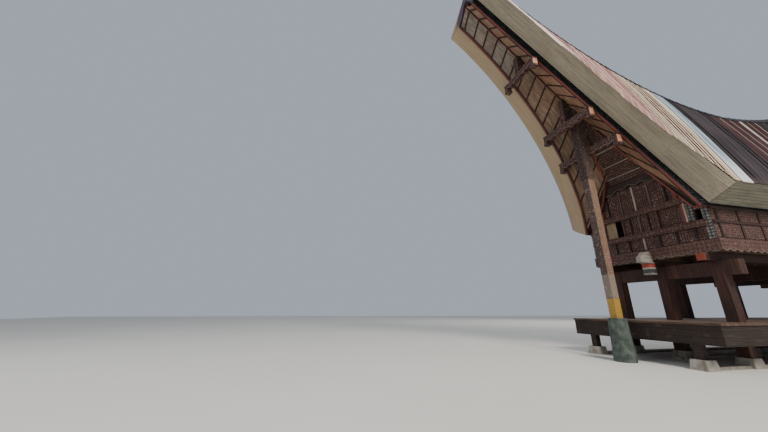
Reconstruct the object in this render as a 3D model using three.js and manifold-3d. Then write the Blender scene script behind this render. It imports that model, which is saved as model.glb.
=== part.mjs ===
// A tongkonan, the saddle-roofed ancestral house of the Toraja highlands, from its footings to
// its two prows. Millimetres, +Z up. The origin is on the ground under the middle of the house,
// the ridge lies along Y, and the carved front looks towards -Y. The rear is the front turned
// half round, without the carved head.
import * as THREE from 'three';
import { mergeVertices } from 'three/addons/utils/BufferGeometryUtils.js';
import Module from 'manifold-3d';

const wasm = await Module();
wasm.setup();

// Gap between pieces that rest on or stand beside each other.
const SEAT = 0.4;

// Posts and footings of the open storey.
const POST_ROWS = 5;
const FRONT_ROW = 6420;
const POST_X = 1650;
const POST_SIDE = 300;
const PAD_BASE = 450;
const PAD_TOP = 380;
const PAD_HEIGHT = 270;
const PAD_OVERHANG = 60;
const KERB_WIDTH = 250;
const KERB_HEIGHT = 80;
const CENTRE_KERB_END = 6800;
const HEAD_BEAM_HALF = 2200;
const HEAD_BEAM_BOTTOM = 2630;
const HEAD_BEAM_TOP = 3080;
const HEAD_BEAM_DEPTH = 260;

// Raised platform between the posts.
const DECK_HALF_WIDTH = 2380;
const DECK_HALF_LENGTH = 8380;
const DECK_TOP = 1250;
const DECK_THICK = 60;
const DECK_TIE_HEIGHT = 180;
const DECK_TIE_DEPTH = 160;
const SKIRT_BOTTOM = 670;
const SKIRT_INSET = 30;
const SKIRT_THICK = 60;
const STUB_POST_SIDE = 200;
const POST_HOLE_PLAY = 1;

// Body of the house: beams, floor, walls.
const WALL_HALF_WIDTH = 2100;
const WALL_FRONT = 6900;
const WALL_THICK = 120;
const FLOOR_TOP = 3700;
const FLOOR_THICK = 120;
const SILL_BOTTOM = 3310;
const SILL_WIDTH = 180;
const FLOOR_BEAM_WIDTH = 220;
const FLOOR_BEAM_END = 7120;
const CENTRE_BEAM_END = 6860;
const CROSS_BEAM_Y = 5000;
const LAMBREQUIN_THICK = 50;
const LAMBREQUIN_TOP = 3710;
const LAMBREQUIN_DROP = 340;
const SCALLOP_WIDTH = 305;
const SCALLOP_DEPTH = 60;
const SCALLOP_STEPS = 4;

// Windows in the end walls.
const WINDOW_BOTTOM = 4360;
const WINDOW_TOP = 5030;
const WINDOW_INNER = 660;
const WINDOW_OUTER = 1380;
const HALF_SHUTTER_WIDTH = 400;
const SHUTTER_THICK = 40;
const SHUTTER_SETBACK = 30;
const SHUTTER_GAP = 40;
const VENT_INNER = 1730;
const VENT_OUTER = 1910;
const VENT_TOP = 4720;
const WALL_SHOULDER = 5150;
const WALL_TOP_HALF = 1500;
const POST_LAP = 60;
const WALL_TOP = 6500;

// Gable above the wall, leaning out over it.
const GABLE_TOP = 9000;
const GABLE_TOP_HALF = 800;
const GABLE_LEAN = 0.702;
const GABLE_THICK = 90;
const GABLE_CUT_TOP = 9500;

// Saddle roof. Each curve runs from its lower end to the prow, as four control points.
const EAVE_X = 2960;
const EAVE_Z = 5200;
const EAVE_CORNER_Y = 7000;
const PROW_Y = 13500;
const VERGE = [
  [EAVE_X, EAVE_CORNER_Y, EAVE_Z],
  [1900, 8400, 8300],
  [1400, 11100, 11500],
  [1360, PROW_Y, 13400],
];
const RIDGE = [
  [0, 0, 10580],
  [0, 4500, 10700],
  [0, 8500, 12600],
  [0, 13000, 15900],
];
const TRIM = [
  [2125, 7200, 4770],
  [1150, 8050, 7600],
  [600, 10900, 10900],
  [590, PROW_Y, 13200],
];
const FASCIA = [
  [2250, 7070, 4795],
  [1366, 7476, 6903],
  [700, 10121, 10540],
  [654, 13460, 13446],
];
const RIDGE_THICK = 300;
const VERGE_STEPS = 20;
const HALVINGS = 40;
const EAVE_STEPS = 12;
const SLOPE_STEPS = 4;
const BORDER_THICK = 40;
const EAVE_TRIM_X = 2125;
const EAVE_TRIM_Z = 4770;
const CAP_THICK = 35;
const CAP_REACH = 280;
const CAP_LIFT = 8;

// Boards and beams under the prow. The ridge beam rises towards the prow in a straight line.
const BEAM_Y = 8820;
const BEAM_Z = 9220;
const BEAM_RISE = 0.967;
const BEAM_WIDTH = 140;
const BEAM_HEIGHT = 200;
const BEAM_INNER_END = 8760;
const BEAM_OUTER_END = 13380;
const SOFFIT_THICK = 40;
const SOFFIT_BEVEL = 15;
const SOFFIT_WALL_Z = 4660;
const PROW_FACE_THICK = 30;
const PROW_FACE_SETBACK = 40;

// Tie beams across the verges: place along Y, top, half length, height, and king post or not.
const TIES = [
  { name: 'upper', y: 11300, top: 10760, half: 860, height: 230, king: true },
  { name: 'middle', y: 9470, top: 8700, half: 1130, height: 260, king: true },
  { name: 'lower', y: 8720, top: 7590, half: 1300, height: 280, king: false },
];
const TIE_DEPTH = 200;
const TIE_BLOCK = 170;
const TIE_BLOCK_DROP = 130;
const KING_WIDTH = 240;

// Tulak somba, the tall post under the overhang, on its pedestal: a slim shaft with a wider
// carved head part.
const TULAK_Y = 8955;
const TULAK_FOOT_SIDE = 250;
const TULAK_NECK_SIDE = 275;
const TULAK_HEAD_SIDE = 330;
const TULAK_NECK_Z = 6300;
const PEDESTAL_TOP = 1320;
const PEDESTAL_TOP_RADIUS = 265;
const PEDESTAL_BASE_RADIUS = 320;
const PEDESTAL_SIDES = 12;

// Carved head on the middle of the front: reach from the wall, half width, bottom and top.
const NECK_HALF = 130;
const NECK_DEPTH = 200;
const NECK_BOTTOM = 2800;
const NECK_TOP = 3250;
const HEAD_TAPER = 0.8;
const HEAD_SECTIONS = [
  { reach: 0, half: 150, bottom: 3180, top: 3620 },
  { reach: 180, half: 170, bottom: 3200, top: 3620 },
  { reach: 330, half: 110, bottom: 3220, top: 3500 },
  { reach: 460, half: 95, bottom: 3230, top: 3430 },
];

const v3 = (p) => new THREE.Vector3(p[0], p[1], p[2]);

const house = new THREE.Group();
const front = new THREE.Group();
const rear = new THREE.Group();
rear.rotation.z = Math.PI;
house.add(front, rear);

const finish = (color, roughness, metalness = 0) =>
  new THREE.MeshStandardMaterial({ color, roughness, metalness });

const concrete = () => finish(0x9a958c, 0.9);
const postWood = () => finish(0x5a3424, 0.75);
const darkWood = () => finish(0x2c201b, 0.8);
const deckWood = () => finish(0x3b2b22, 0.85);
const carvedWood = () => finish(0x3a1f19, 0.7);
const shutterPaint = () => finish(0xc9b78f, 0.7);
const sheetMetal = () => finish(0x9da3a6, 0.45, 0.6);
const capMetal = () => finish(0x3a3338, 0.5, 0.5);
const blackBoard = () => finish(0x16171a, 0.7);
const wovenMat = () => finish(0x8a7462, 0.9);
const redBeam = () => finish(0x7a2f22, 0.7);
const stone = () => finish(0x3c423c, 0.95);
const paleCarving = () => finish(0xb9b0a4, 0.7);

function addMesh(parent, name, geometry, material) {
  const mesh = new THREE.Mesh(geometry, material);
  mesh.name = name;
  parent.add(mesh);
  return mesh;
}

// A closed geometry as a solid that can be joined and cut.
function toSolid(geometry) {
  const plain = geometry.clone();
  plain.deleteAttribute('normal');
  plain.deleteAttribute('uv');
  const merged = mergeVertices(plain, 1e-3);
  const vertProperties = new Float32Array(merged.attributes.position.array);
  const triVerts = new Uint32Array(merged.index.array);
  return new wasm.Manifold(new wasm.Mesh({ numProp: 3, vertProperties, triVerts }));
}

function toGeometry(solid) {
  const mesh = solid.getMesh();
  const geometry = new THREE.BufferGeometry();
  geometry.setAttribute('position', new THREE.BufferAttribute(new Float32Array(mesh.vertProperties), 3));
  geometry.setIndex(new THREE.BufferAttribute(new Uint32Array(mesh.triVerts), 1));
  geometry.computeVertexNormals();
  return geometry;
}

function join(geometries) {
  return toGeometry(geometries.map(toSolid).reduce((sum, next) => sum.add(next)));
}

function cut(geometry, cutters) {
  return toGeometry(cutters.map(toSolid).reduce((rest, next) => rest.subtract(next), toSolid(geometry)));
}

// A box between two corners.
function block(x0, x1, y0, y1, z0, z1) {
  const geometry = new THREE.BoxGeometry(x1 - x0, y1 - y0, z1 - z0);
  return geometry.translate((x0 + x1) / 2, (y0 + y1) / 2, (z0 + z1) / 2);
}

// An outline of [x, z] points, drawn on the XZ plane and given its thickness along Y.
function plateAcross(outline, y0, y1) {
  const shape = new THREE.Shape(outline.map(([x, z]) => new THREE.Vector2(x, z)));
  const geometry = new THREE.ExtrudeGeometry(shape, { depth: y1 - y0, bevelEnabled: false });
  return geometry.rotateX(Math.PI / 2).translate(0, y1, 0);
}

// An outline of [y, z] points, given its thickness along X.
function plateAlong(outline, x0, x1) {
  const shape = new THREE.Shape(outline.map(([y, z]) => new THREE.Vector2(y, z)));
  const geometry = new THREE.ExtrudeGeometry(shape, { depth: x1 - x0, bevelEnabled: false });
  return geometry.rotateZ(Math.PI / 2).rotateY(Math.PI / 2).translate(x0, 0, 0);
}

// Triangles that close a loop of points, wound as the loop is. Four points are one convex face;
// longer loops are seen along Y.
function endFaces(loop) {
  if (loop.length === 4) return [[0, 1, 2], [0, 2, 3]];
  const outline = loop.map((p) => new THREE.Vector2(p.x, p.z));
  const turn = Math.sign(THREE.ShapeUtils.area(outline));
  return THREE.ShapeUtils.triangulateShape(outline, []).map(([a, b, c]) => {
    const same = Math.sign(THREE.ShapeUtils.area([outline[a], outline[b], outline[c]])) === turn;
    return same ? [a, b, c] : [a, c, b];
  });
}

// Triangles that close a loop whose first half runs beside its second half, as rungs of a ladder.
function rungFaces(loop) {
  const last = loop.length - 1;
  const faces = [];
  for (let k = 0; k + 1 < loop.length / 2; k += 1) {
    faces.push([k, k + 1, last - k - 1], [k, last - k - 1, last - k]);
  }
  return faces;
}

// A closed body through a list of sections, each a loop of the same number of points.
function loft(sections, closingFaces = endFaces) {
  const count = sections[0].length;
  const points = sections.flat();
  const index = [];
  for (let s = 0; s + 1 < sections.length; s += 1) {
    for (let k = 0; k < count; k += 1) {
      const a = s * count + k;
      const b = s * count + ((k + 1) % count);
      index.push(a, b, b + count, a, b + count, a + count);
    }
  }
  const last = (sections.length - 1) * count;
  for (const [a, b, c] of closingFaces(sections[0])) index.push(a, c, b);
  for (const [a, b, c] of closingFaces(sections.at(-1))) index.push(last + a, last + b, last + c);
  const geometry = new THREE.BufferGeometry().setFromPoints(points);
  geometry.setIndex(index);
  return facingOut(geometry);
}

// Turns a closed geometry's faces round where they point inwards.
function facingOut(geometry) {
  const position = geometry.attributes.position;
  const index = geometry.index.array;
  const corner = [0, 1, 2].map(() => new THREE.Vector3());
  let volume = 0;
  for (let i = 0; i < index.length; i += 3) {
    corner.forEach((c, k) => c.fromBufferAttribute(position, index[i + k]));
    volume += corner[0].dot(corner[1].clone().cross(corner[2]));
  }
  if (volume < 0) {
    for (let i = 0; i < index.length; i += 3) {
      [index[i + 1], index[i + 2]] = [index[i + 2], index[i + 1]];
    }
  }
  geometry.computeVertexNormals();
  return geometry;
}

const bezier = (points) => new THREE.CubicBezierCurve3(...points.map(v3));
const vergeCurve = bezier(VERGE);
const ridgeCurve = bezier(RIDGE);
const trimCurve = bezier(TRIM);
const fasciaCurve = bezier(FASCIA);

// The point of a curve at a given y, by halving.
function atY(curve, y) {
  let low = 0;
  let high = 1;
  for (let step = 0; step < HALVINGS; step += 1) {
    const middle = (low + high) / 2;
    if (curve.getPoint(middle).y < y) low = middle;
    else high = middle;
  }
  return curve.getPoint((low + high) / 2);
}

const beamBottom = (y) => BEAM_Z + BEAM_RISE * (y - BEAM_Y);
const gableY = (z) => WALL_FRONT + GABLE_LEAN * (z - WALL_TOP);

// Stations of the roof's right half from the middle to the prow: the outer edge, the inner edge
// of the fascia, the trim's edge below it, the ridge above them, and the way in through the board
// between fascia and trim.
function roofStations() {
  const stations = [];
  for (let i = 0; i < EAVE_STEPS; i += 1) {
    const y = (EAVE_CORNER_Y * i) / EAVE_STEPS;
    const edge = new THREE.Vector3(EAVE_X, y, EAVE_Z);
    const fascia = new THREE.Vector3(FASCIA[0][0], y, FASCIA[0][2]);
    stations.push({ edge, fascia, trim: new THREE.Vector3(EAVE_TRIM_X, y, EAVE_TRIM_Z) });
  }
  for (let i = 0; i <= VERGE_STEPS; i += 1) {
    const t = i / VERGE_STEPS;
    const edge = vergeCurve.getPoint(t);
    stations.push({ edge, fascia: fasciaCurve.getPoint(t), trim: trimCurve.getPoint(t) });
  }
  stations.forEach((station, i) => {
    const before = stations[Math.max(i - 1, 0)];
    const after = stations[Math.min(i + 1, stations.length - 1)];
    const run = after.trim.clone().sub(before.trim);
    const across = station.trim.clone().sub(station.fascia);
    station.ridge = atY(ridgeCurve, (station.edge.y * RIDGE[3][1]) / PROW_Y);
    station.inside = run.cross(across).normalize();
  });
  return stations;
}

const flipY = (p) => new THREE.Vector3(p.x, -p.y, p.z);

// Sections from one prow to the other, from sections of the half with positive y.
function bothEnds(halfSections) {
  const mirrored = halfSections.slice(1).reverse();
  return [...mirrored.map((section) => section.map(flipY)), ...halfSections];
}

// Points spread evenly from one point to another.
const spread = (from, to, steps) =>
  Array.from({ length: steps + 1 }, (_, k) => from.clone().lerp(to, k / steps));

function roofSlope(stations) {
  const half = stations.map(({ edge, fascia, ridge }) => [
    ...spread(edge, new THREE.Vector3(SEAT / 2, ridge.y, ridge.z), SLOPE_STEPS),
    ...spread(new THREE.Vector3(SEAT / 2, ridge.y, ridge.z - RIDGE_THICK), fascia, SLOPE_STEPS),
  ]);
  return loft(bothEnds(half), rungFaces);
}

// Dark board between the fascia and the trim: it hangs at the prows and lies flat along the eave.
function borderBoard(stations) {
  const half = stations.map(({ fascia, trim, inside }) => {
    const across = trim.clone().sub(fascia).normalize();
    const outer = fascia.clone().addScaledVector(across, 2 * SEAT);
    const back = (p) => p.clone().addScaledVector(inside, BORDER_THICK);
    return [outer, trim, back(trim), back(outer).addScaledVector(across, BORDER_THICK)];
  });
  return loft(bothEnds(half));
}

// Folded sheet over the ridge, on the two slopes.
function ridgeCap(stations) {
  const half = stations.map(({ edge, ridge }) => {
    const down = edge.clone().sub(ridge).normalize();
    const out = new THREE.Vector3(-down.z, 0, down.x).normalize();
    const foot = ridge.clone().addScaledVector(down, CAP_REACH);
    const right = [
      foot.clone().addScaledVector(out, CAP_LIFT),
      foot.clone().addScaledVector(out, CAP_LIFT + CAP_THICK),
      ridge.clone().addScaledVector(out, CAP_LIFT + CAP_THICK),
    ];
    const left = right.map((p) => new THREE.Vector3(-p.x, p.y, p.z)).reverse();
    return [ridge.clone().setZ(ridge.z + 2 * SEAT), ...right, ...left];
  });
  return loft(bothEnds(half));
}

// Everything in front of the wall and the leaning gable, as a solid to cut with.
function behindFront() {
  return plateAlong([
    [0, 0],
    [-(WALL_FRONT + SEAT), 0],
    [-(WALL_FRONT + SEAT), WALL_TOP],
    [-(gableY(GABLE_CUT_TOP) + SEAT), GABLE_CUT_TOP],
    [0, GABLE_CUT_TOP],
  ], -EAVE_X, EAVE_X);
}

// Matting panels under the prow: two slopes from the border boards up to the ridge beam.
function soffit(stations) {
  const half = BEAM_WIDTH / 2;
  const section = (x, y, z) => {
    const seat = beamBottom(y) + BEAM_HEIGHT + SEAT;
    const outline = [
      [x, z],
      [half, seat],
      [-half, seat],
      [-x, z],
      [SOFFIT_BEVEL - x, z + SOFFIT_THICK],
      [-half, seat + SOFFIT_THICK],
      [half, seat + SOFFIT_THICK],
      [x - SOFFIT_BEVEL, z + SOFFIT_THICK],
    ];
    return outline.map((p) => new THREE.Vector3(p[0], -y, p[1]));
  };
  const starts = stations.slice(EAVE_STEPS)
    .map(({ trim, inside }) => trim.clone().addScaledVector(inside, BORDER_THICK));
  const sections = [section(starts[0].x - 3 * SEAT, WALL_FRONT - WALL_THICK, SOFFIT_WALL_Z)];
  for (const start of starts) {
    sections.push(section(start.x - 3 * SEAT, Math.min(start.y, PROW_Y - PROW_FACE_THICK), start.z));
  }
  return cut(loft(sections), [behindFront()]);
}

function ridgeBeam() {
  const section = (y) => {
    const z = beamBottom(y);
    const half = BEAM_WIDTH / 2;
    return [[-half, z], [half, z], [half, z + BEAM_HEIGHT], [-half, z + BEAM_HEIGHT]]
      .map((p) => new THREE.Vector3(p[0], -y, p[1]));
  };
  return loft([section(BEAM_INNER_END), section(BEAM_OUTER_END)]);
}

// Closed triangle of the prow above the soffit's outer end. It is drawn a little too wide, cut to
// the two slopes and the border boards and then narrowed by the gap to them.
function prowFace(slope, board) {
  const foot = trimCurve.getPoint(1);
  const fascia = fasciaCurve.getPoint(1);
  const apexZ = RIDGE[3][2] - RIDGE_THICK;
  const lift = SOFFIT_THICK + 2 * SEAT;
  const corners = [
    [0, beamBottom(PROW_Y) + BEAM_HEIGHT + lift],
    [foot.x, foot.z + lift],
    [fascia.x, fascia.z + 2 * lift],
    [0, apexZ],
    [-fascia.x, fascia.z + 2 * lift],
    [-foot.x, foot.z + lift],
  ];
  const lean = (RIDGE[3][1] - fascia.y) / (apexZ - fascia.z);
  const at = (p, back) => new THREE.Vector3(p[0], -(fascia.y + lean * (p[1] - fascia.z) - back), p[1]);
  const back = PROW_FACE_SETBACK;
  const plate = plateFromCorners(corners, (p) => at(p, back), (p) => at(p, back + PROW_FACE_THICK));
  const besides = [slope, board];
  const fitted = cut(plate, [...besides, ...besides.map((solid) => solid.clone().rotateZ(Math.PI))]);
  return fitted.scale(1 - SEAT / fascia.x, 1, 1);
}

// A flat plate between two placings of one [x, z] outline.
function plateFromCorners(corners, placeA, placeB) {
  const outline = corners.map(([x, z]) => new THREE.Vector2(x, z));
  const triangles = THREE.ShapeUtils.triangulateShape(outline, []);
  const count = corners.length;
  const index = [];
  for (const [a, b, c] of triangles) index.push(a, b, c, count + a, count + c, count + b);
  for (let k = 0; k < count; k += 1) {
    const next = (k + 1) % count;
    index.push(k, count + k, count + next, k, count + next, next);
  }
  const geometry = new THREE.BufferGeometry().setFromPoints([...corners.map(placeA), ...corners.map(placeB)]);
  geometry.setIndex(index);
  return facingOut(geometry);
}

// Lower edge of a row of scallops, from one end to the other.
function scallops(from, to, z) {
  const count = Math.round((to - from) / SCALLOP_WIDTH);
  const width = (to - from) / count;
  const points = [];
  for (let i = 0; i < count * SCALLOP_STEPS; i += 1) {
    const phase = (i % SCALLOP_STEPS) / SCALLOP_STEPS;
    points.push([from + (i / SCALLOP_STEPS) * width, z - SCALLOP_DEPTH * Math.sin(Math.PI * phase)]);
  }
  points.push([to, z]);
  return points;
}

function tieBeam({ y, top, half, height, king }) {
  const bottom = top - height;
  const scallopTop = bottom + SCALLOP_DEPTH;
  const outline = [
    ...scallops(-half + TIE_BLOCK, half - TIE_BLOCK, scallopTop),
    [half - TIE_BLOCK, bottom - TIE_BLOCK_DROP],
    [half, bottom - TIE_BLOCK_DROP],
    [half, top],
  ];
  if (king) {
    const kingTop = beamBottom(y - TIE_DEPTH / 2) - SEAT;
    outline.push([KING_WIDTH / 2, top], [KING_WIDTH / 2, kingTop], [-KING_WIDTH / 2, kingTop]);
    outline.push([-KING_WIDTH / 2, top]);
  }
  outline.push([-half, top], [-half, bottom - TIE_BLOCK_DROP], [-half + TIE_BLOCK, bottom - TIE_BLOCK_DROP]);
  return plateAcross(outline, -(y + TIE_DEPTH / 2), -(y - TIE_DEPTH / 2));
}

// The tall post, stepped out below its head part, with a lap cut in its back for the lower tie
// beam. Its top follows the ridge beam that it carries.
function tulakSomba() {
  const ring = (side, heightAt) => [[-1, -1], [1, -1], [1, 1], [-1, 1]].map(([sx, sy]) => {
    const y = TULAK_Y - (sy * side) / 2;
    return new THREE.Vector3((sx * side) / 2, -y, heightAt(y));
  });
  const tie = TIES[2];
  const notch = block(
    -TULAK_HEAD_SIDE, TULAK_HEAD_SIDE,
    -(tie.y + TIE_DEPTH / 2 + SEAT), -(tie.y - TIE_DEPTH),
    tie.top - tie.height - SEAT, tie.top + SEAT,
  );
  const post = loft([
    ring(TULAK_FOOT_SIDE, () => PEDESTAL_TOP + SEAT),
    ring(TULAK_NECK_SIDE, () => TULAK_NECK_Z),
    ring(TULAK_HEAD_SIDE, () => TULAK_NECK_Z),
    ring(TULAK_HEAD_SIDE, (y) => beamBottom(y) - SEAT),
  ]);
  return cut(post, [notch]);
}

function pedestal() {
  const geometry = new THREE.CylinderGeometry(
    PEDESTAL_TOP_RADIUS, PEDESTAL_BASE_RADIUS, PEDESTAL_TOP, PEDESTAL_SIDES,
  );
  return geometry.rotateX(Math.PI / 2).translate(0, -TULAK_Y, PEDESTAL_TOP / 2);
}

const rowY = (row) => -FRONT_ROW + (2 * FRONT_ROW * row) / (POST_ROWS - 1);
const rows = Array.from({ length: POST_ROWS }, (_, row) => rowY(row));
const postXs = [-POST_X, 0, POST_X];
const stubY = DECK_HALF_LENGTH - SKIRT_INSET - (SKIRT_THICK + STUB_POST_SIDE) / 2;

// A kerb along the house with a tapered pad under each post.
function footing(x, kerbEnd, padYs) {
  const kerb = block(x - KERB_WIDTH / 2, x + KERB_WIDTH / 2, -kerbEnd, kerbEnd, 0, KERB_HEIGHT);
  const pads = padYs.map((y) => {
    const pad = new THREE.CylinderGeometry(PAD_TOP * Math.SQRT1_2, PAD_BASE * Math.SQRT1_2, PAD_HEIGHT, 4);
    return pad.rotateX(Math.PI / 2).rotateZ(Math.PI / 4).translate(x, y, PAD_HEIGHT / 2);
  });
  return join([kerb, ...pads]);
}

// Three posts with the tie that carries the deck and the head beam that carries the house.
function postRow(y) {
  const half = POST_SIDE / 2;
  const posts = postXs.map((x) => block(x - half, x + half, y - half, y + half, PAD_HEIGHT + SEAT, HEAD_BEAM_TOP));
  const tieTop = DECK_TOP - DECK_THICK - SEAT;
  const tieHalf = DECK_HALF_WIDTH - SKIRT_INSET - SKIRT_THICK - SEAT;
  const tie = block(
    -tieHalf, tieHalf, y - DECK_TIE_DEPTH / 2, y + DECK_TIE_DEPTH / 2, tieTop - DECK_TIE_HEIGHT, tieTop,
  );
  const head = block(
    -HEAD_BEAM_HALF, HEAD_BEAM_HALF, y - HEAD_BEAM_DEPTH / 2, y + HEAD_BEAM_DEPTH / 2,
    HEAD_BEAM_BOTTOM, HEAD_BEAM_TOP,
  );
  return join([...posts, tie, head]);
}

// A level board with its middle cut out, from the ground plan's half sizes.
function levelFrame(x, y, width, z0, z1) {
  const outer = block(-x, x, -y, y, z0, z1);
  const hole = block(-x + width, x - width, -y + width, y - width, z0 - 1, z1 + 1);
  return cut(outer, [hole]);
}

function platformDeck() {
  const half = POST_SIDE / 2 + POST_HOLE_PLAY;
  const bottom = DECK_TOP - DECK_THICK;
  const deck = block(-DECK_HALF_WIDTH, DECK_HALF_WIDTH, -DECK_HALF_LENGTH, DECK_HALF_LENGTH, bottom, DECK_TOP);
  const holes = rows.flatMap((y) => postXs.map((x) => (
    block(x - half, x + half, y - half, y + half, bottom - 1, DECK_TOP + 1)
  )));
  return cut(deck, holes);
}

// Boards round the platform's edge, with the short posts that stand on the outermost pads.
function platformSkirt() {
  const x = DECK_HALF_WIDTH - SKIRT_INSET;
  const y = DECK_HALF_LENGTH - SKIRT_INSET;
  const top = DECK_TOP - DECK_THICK - SEAT;
  const half = STUB_POST_SIDE / 2;
  const ring = levelFrame(x, y, SKIRT_THICK, SKIRT_BOTTOM, top);
  const stubs = [-1, 1].flatMap((sx) => [-1, 1].map((sy) => {
    const cx = sx * POST_X;
    const cy = sy * stubY;
    return block(cx - half, cx + half, cy - half, cy + half, PAD_HEIGHT + SEAT, top);
  }));
  return join([ring, ...stubs]);
}

// Beams along the house on the head beams, joined by cross beams between the post rows.
function floorBeams() {
  const half = FLOOR_BEAM_WIDTH / 2;
  const bottom = HEAD_BEAM_TOP + SEAT;
  const top = SILL_BOTTOM - SEAT;
  const ends = [FLOOR_BEAM_END, CENTRE_BEAM_END, FLOOR_BEAM_END];
  const along = postXs.map((x, i) => block(x - half, x + half, -ends[i], ends[i], bottom, top));
  const across = [-CROSS_BEAM_Y, CROSS_BEAM_Y].map((y) => block(-POST_X, POST_X, y - half, y + half, bottom, top));
  return join([...along, ...across]);
}

// The floor with its sill frame under the walls.
function houseFloor() {
  const x = WALL_HALF_WIDTH;
  const y = WALL_FRONT;
  const top = FLOOR_TOP - SEAT;
  const plate = block(-x, x, -y, y, top - FLOOR_THICK, top);
  const sill = levelFrame(x, y, SILL_WIDTH, SILL_BOTTOM, top);
  const middle = block(-SILL_WIDTH / 2, SILL_WIDTH / 2, -y, y, SILL_BOTTOM, top - FLOOR_THICK / 2);
  return join([plate, sill, middle]);
}

// Carved band hung round the floor frame, its lower edge cut in scallops.
function lambrequin() {
  const x = WALL_HALF_WIDTH + SEAT;
  const y = WALL_FRONT + SEAT;
  const edgeZ = LAMBREQUIN_TOP - LAMBREQUIN_DROP;
  const outX = x + LAMBREQUIN_THICK;
  const outY = y + LAMBREQUIN_THICK;
  const endOutline = [...scallops(-outX, outX, edgeZ), [outX, LAMBREQUIN_TOP], [-outX, LAMBREQUIN_TOP]];
  const sideOutline = [...scallops(-outY, outY, edgeZ), [outY, LAMBREQUIN_TOP], [-outY, LAMBREQUIN_TOP]];
  return join([
    plateAcross(endOutline, -outY, -y),
    plateAcross(endOutline, y, outY),
    plateAlong(sideOutline, x, outX),
    plateAlong(sideOutline, -outX, -x),
  ]);
}

// A cutter for an opening in the end wall, on the left (-1) or right (1) of its middle.
function wallHole(side, inner, outer, top) {
  const [x0, x1] = side > 0 ? [inner, outer] : [-outer, -inner];
  return block(x0, x1, -WALL_FRONT - 1, -WALL_FRONT + WALL_THICK + 1, WINDOW_BOTTOM, top);
}

// Height of the end wall's sloping side at a given distance from its middle.
function shoulderZ(x) {
  const share = (WALL_HALF_WIDTH - x) / (WALL_HALF_WIDTH - WALL_TOP_HALF);
  return WALL_SHOULDER + share * (WALL_TOP - WALL_SHOULDER);
}

// The end wall between the corner posts, which close the outer side of its vents.
function endWall() {
  const half = VENT_OUTER - SEAT;
  const outline = [
    [-half, FLOOR_TOP],
    [half, FLOOR_TOP],
    [half, shoulderZ(half)],
    [WALL_TOP_HALF, WALL_TOP],
    [-WALL_TOP_HALF, WALL_TOP],
    [-half, shoulderZ(half)],
  ];
  const holes = [-1, 1].flatMap((side) => [
    wallHole(side, WINDOW_INNER, WINDOW_OUTER, WINDOW_TOP),
    wallHole(side, VENT_INNER, VENT_OUTER, VENT_TOP),
  ]);
  return cut(plateAcross(outline, -WALL_FRONT, -WALL_FRONT + WALL_THICK), holes);
}

// The right-hand wall with the corner posts at its ends. Its top is bevelled to the roof's
// underside over the middle of the house.
function sideWall() {
  const inner = WALL_HALF_WIDTH - WALL_THICK;
  const [fasciaX, , fasciaZ] = FASCIA[0];
  const slope = (RIDGE[0][2] - RIDGE_THICK - fasciaZ) / fasciaX;
  const under = (x) => fasciaZ + (fasciaX - x) * slope - 2 * SEAT;
  const outline = [
    [inner, FLOOR_TOP],
    [WALL_HALF_WIDTH, FLOOR_TOP],
    [WALL_HALF_WIDTH, under(WALL_HALF_WIDTH)],
    [inner, under(inner)],
  ];
  const end = WALL_FRONT - WALL_THICK - SEAT;
  const corner = [
    [VENT_OUTER, FLOOR_TOP],
    [WALL_HALF_WIDTH, FLOOR_TOP],
    [WALL_HALF_WIDTH, WALL_SHOULDER],
    [VENT_OUTER, shoulderZ(VENT_OUTER)],
  ];
  const postBack = WALL_FRONT - WALL_THICK - POST_LAP;
  return join([
    plateAcross(outline, -end, end),
    plateAcross(corner, -WALL_FRONT, -postBack),
    plateAcross(corner, postBack, WALL_FRONT),
  ]);
}

function gable() {
  const bottom = WALL_TOP + SEAT;
  const corners = [
    [-WALL_TOP_HALF, bottom],
    [WALL_TOP_HALF, bottom],
    [GABLE_TOP_HALF, GABLE_TOP],
    [-GABLE_TOP_HALF, GABLE_TOP],
  ];
  const place = (back) => (p) => new THREE.Vector3(p[0], -(gableY(p[1]) - back), p[1]);
  return plateFromCorners(corners, place(0), place(GABLE_THICK));
}

// A shutter leaf in its window, from x0 to x1.
function shutter(x0, x1) {
  const y = -WALL_FRONT + SHUTTER_SETBACK;
  return block(x0 + SEAT, x1 - SEAT, y, y + SHUTTER_THICK, WINDOW_BOTTOM + SEAT, WINDOW_TOP - SEAT);
}

// Water buffalo's head on its neck: sections across Y that narrow to the muzzle.
function buffaloHead() {
  const back = WALL_FRONT + LAMBREQUIN_THICK + 2 * SEAT;
  const neck = block(
    -NECK_HALF, NECK_HALF, -(back + NECK_DEPTH), -(CENTRE_BEAM_END + SEAT), NECK_BOTTOM, NECK_TOP,
  );
  const skull = loft(HEAD_SECTIONS.map(({ reach, half, bottom, top }) => {
    const crown = half * HEAD_TAPER;
    return [[-half, bottom], [half, bottom], [crown, top], [-crown, top]]
      .map((p) => new THREE.Vector3(p[0], -(back + reach), p[1]));
  }));
  return join([neck, skull]);
}

const outerPads = [-stubY, ...rows, stubY];
const outerKerbEnd = DECK_HALF_LENGTH + PAD_OVERHANG;
addMesh(house, 'footing_left', footing(-POST_X, outerKerbEnd, outerPads), concrete());
addMesh(house, 'footing_centre', footing(0, CENTRE_KERB_END, rows), concrete());
addMesh(house, 'footing_right', footing(POST_X, outerKerbEnd, outerPads), concrete());
rows.forEach((y, i) => addMesh(house, `post_row_${i + 1}`, postRow(y), postWood()));
addMesh(house, 'platform_skirt', platformSkirt(), darkWood());
addMesh(house, 'platform_deck', platformDeck(), deckWood());
addMesh(house, 'floor_beams', floorBeams(), postWood());
addMesh(house, 'house_floor', houseFloor(), deckWood());
addMesh(house, 'lambrequin', lambrequin(), carvedWood());

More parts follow.
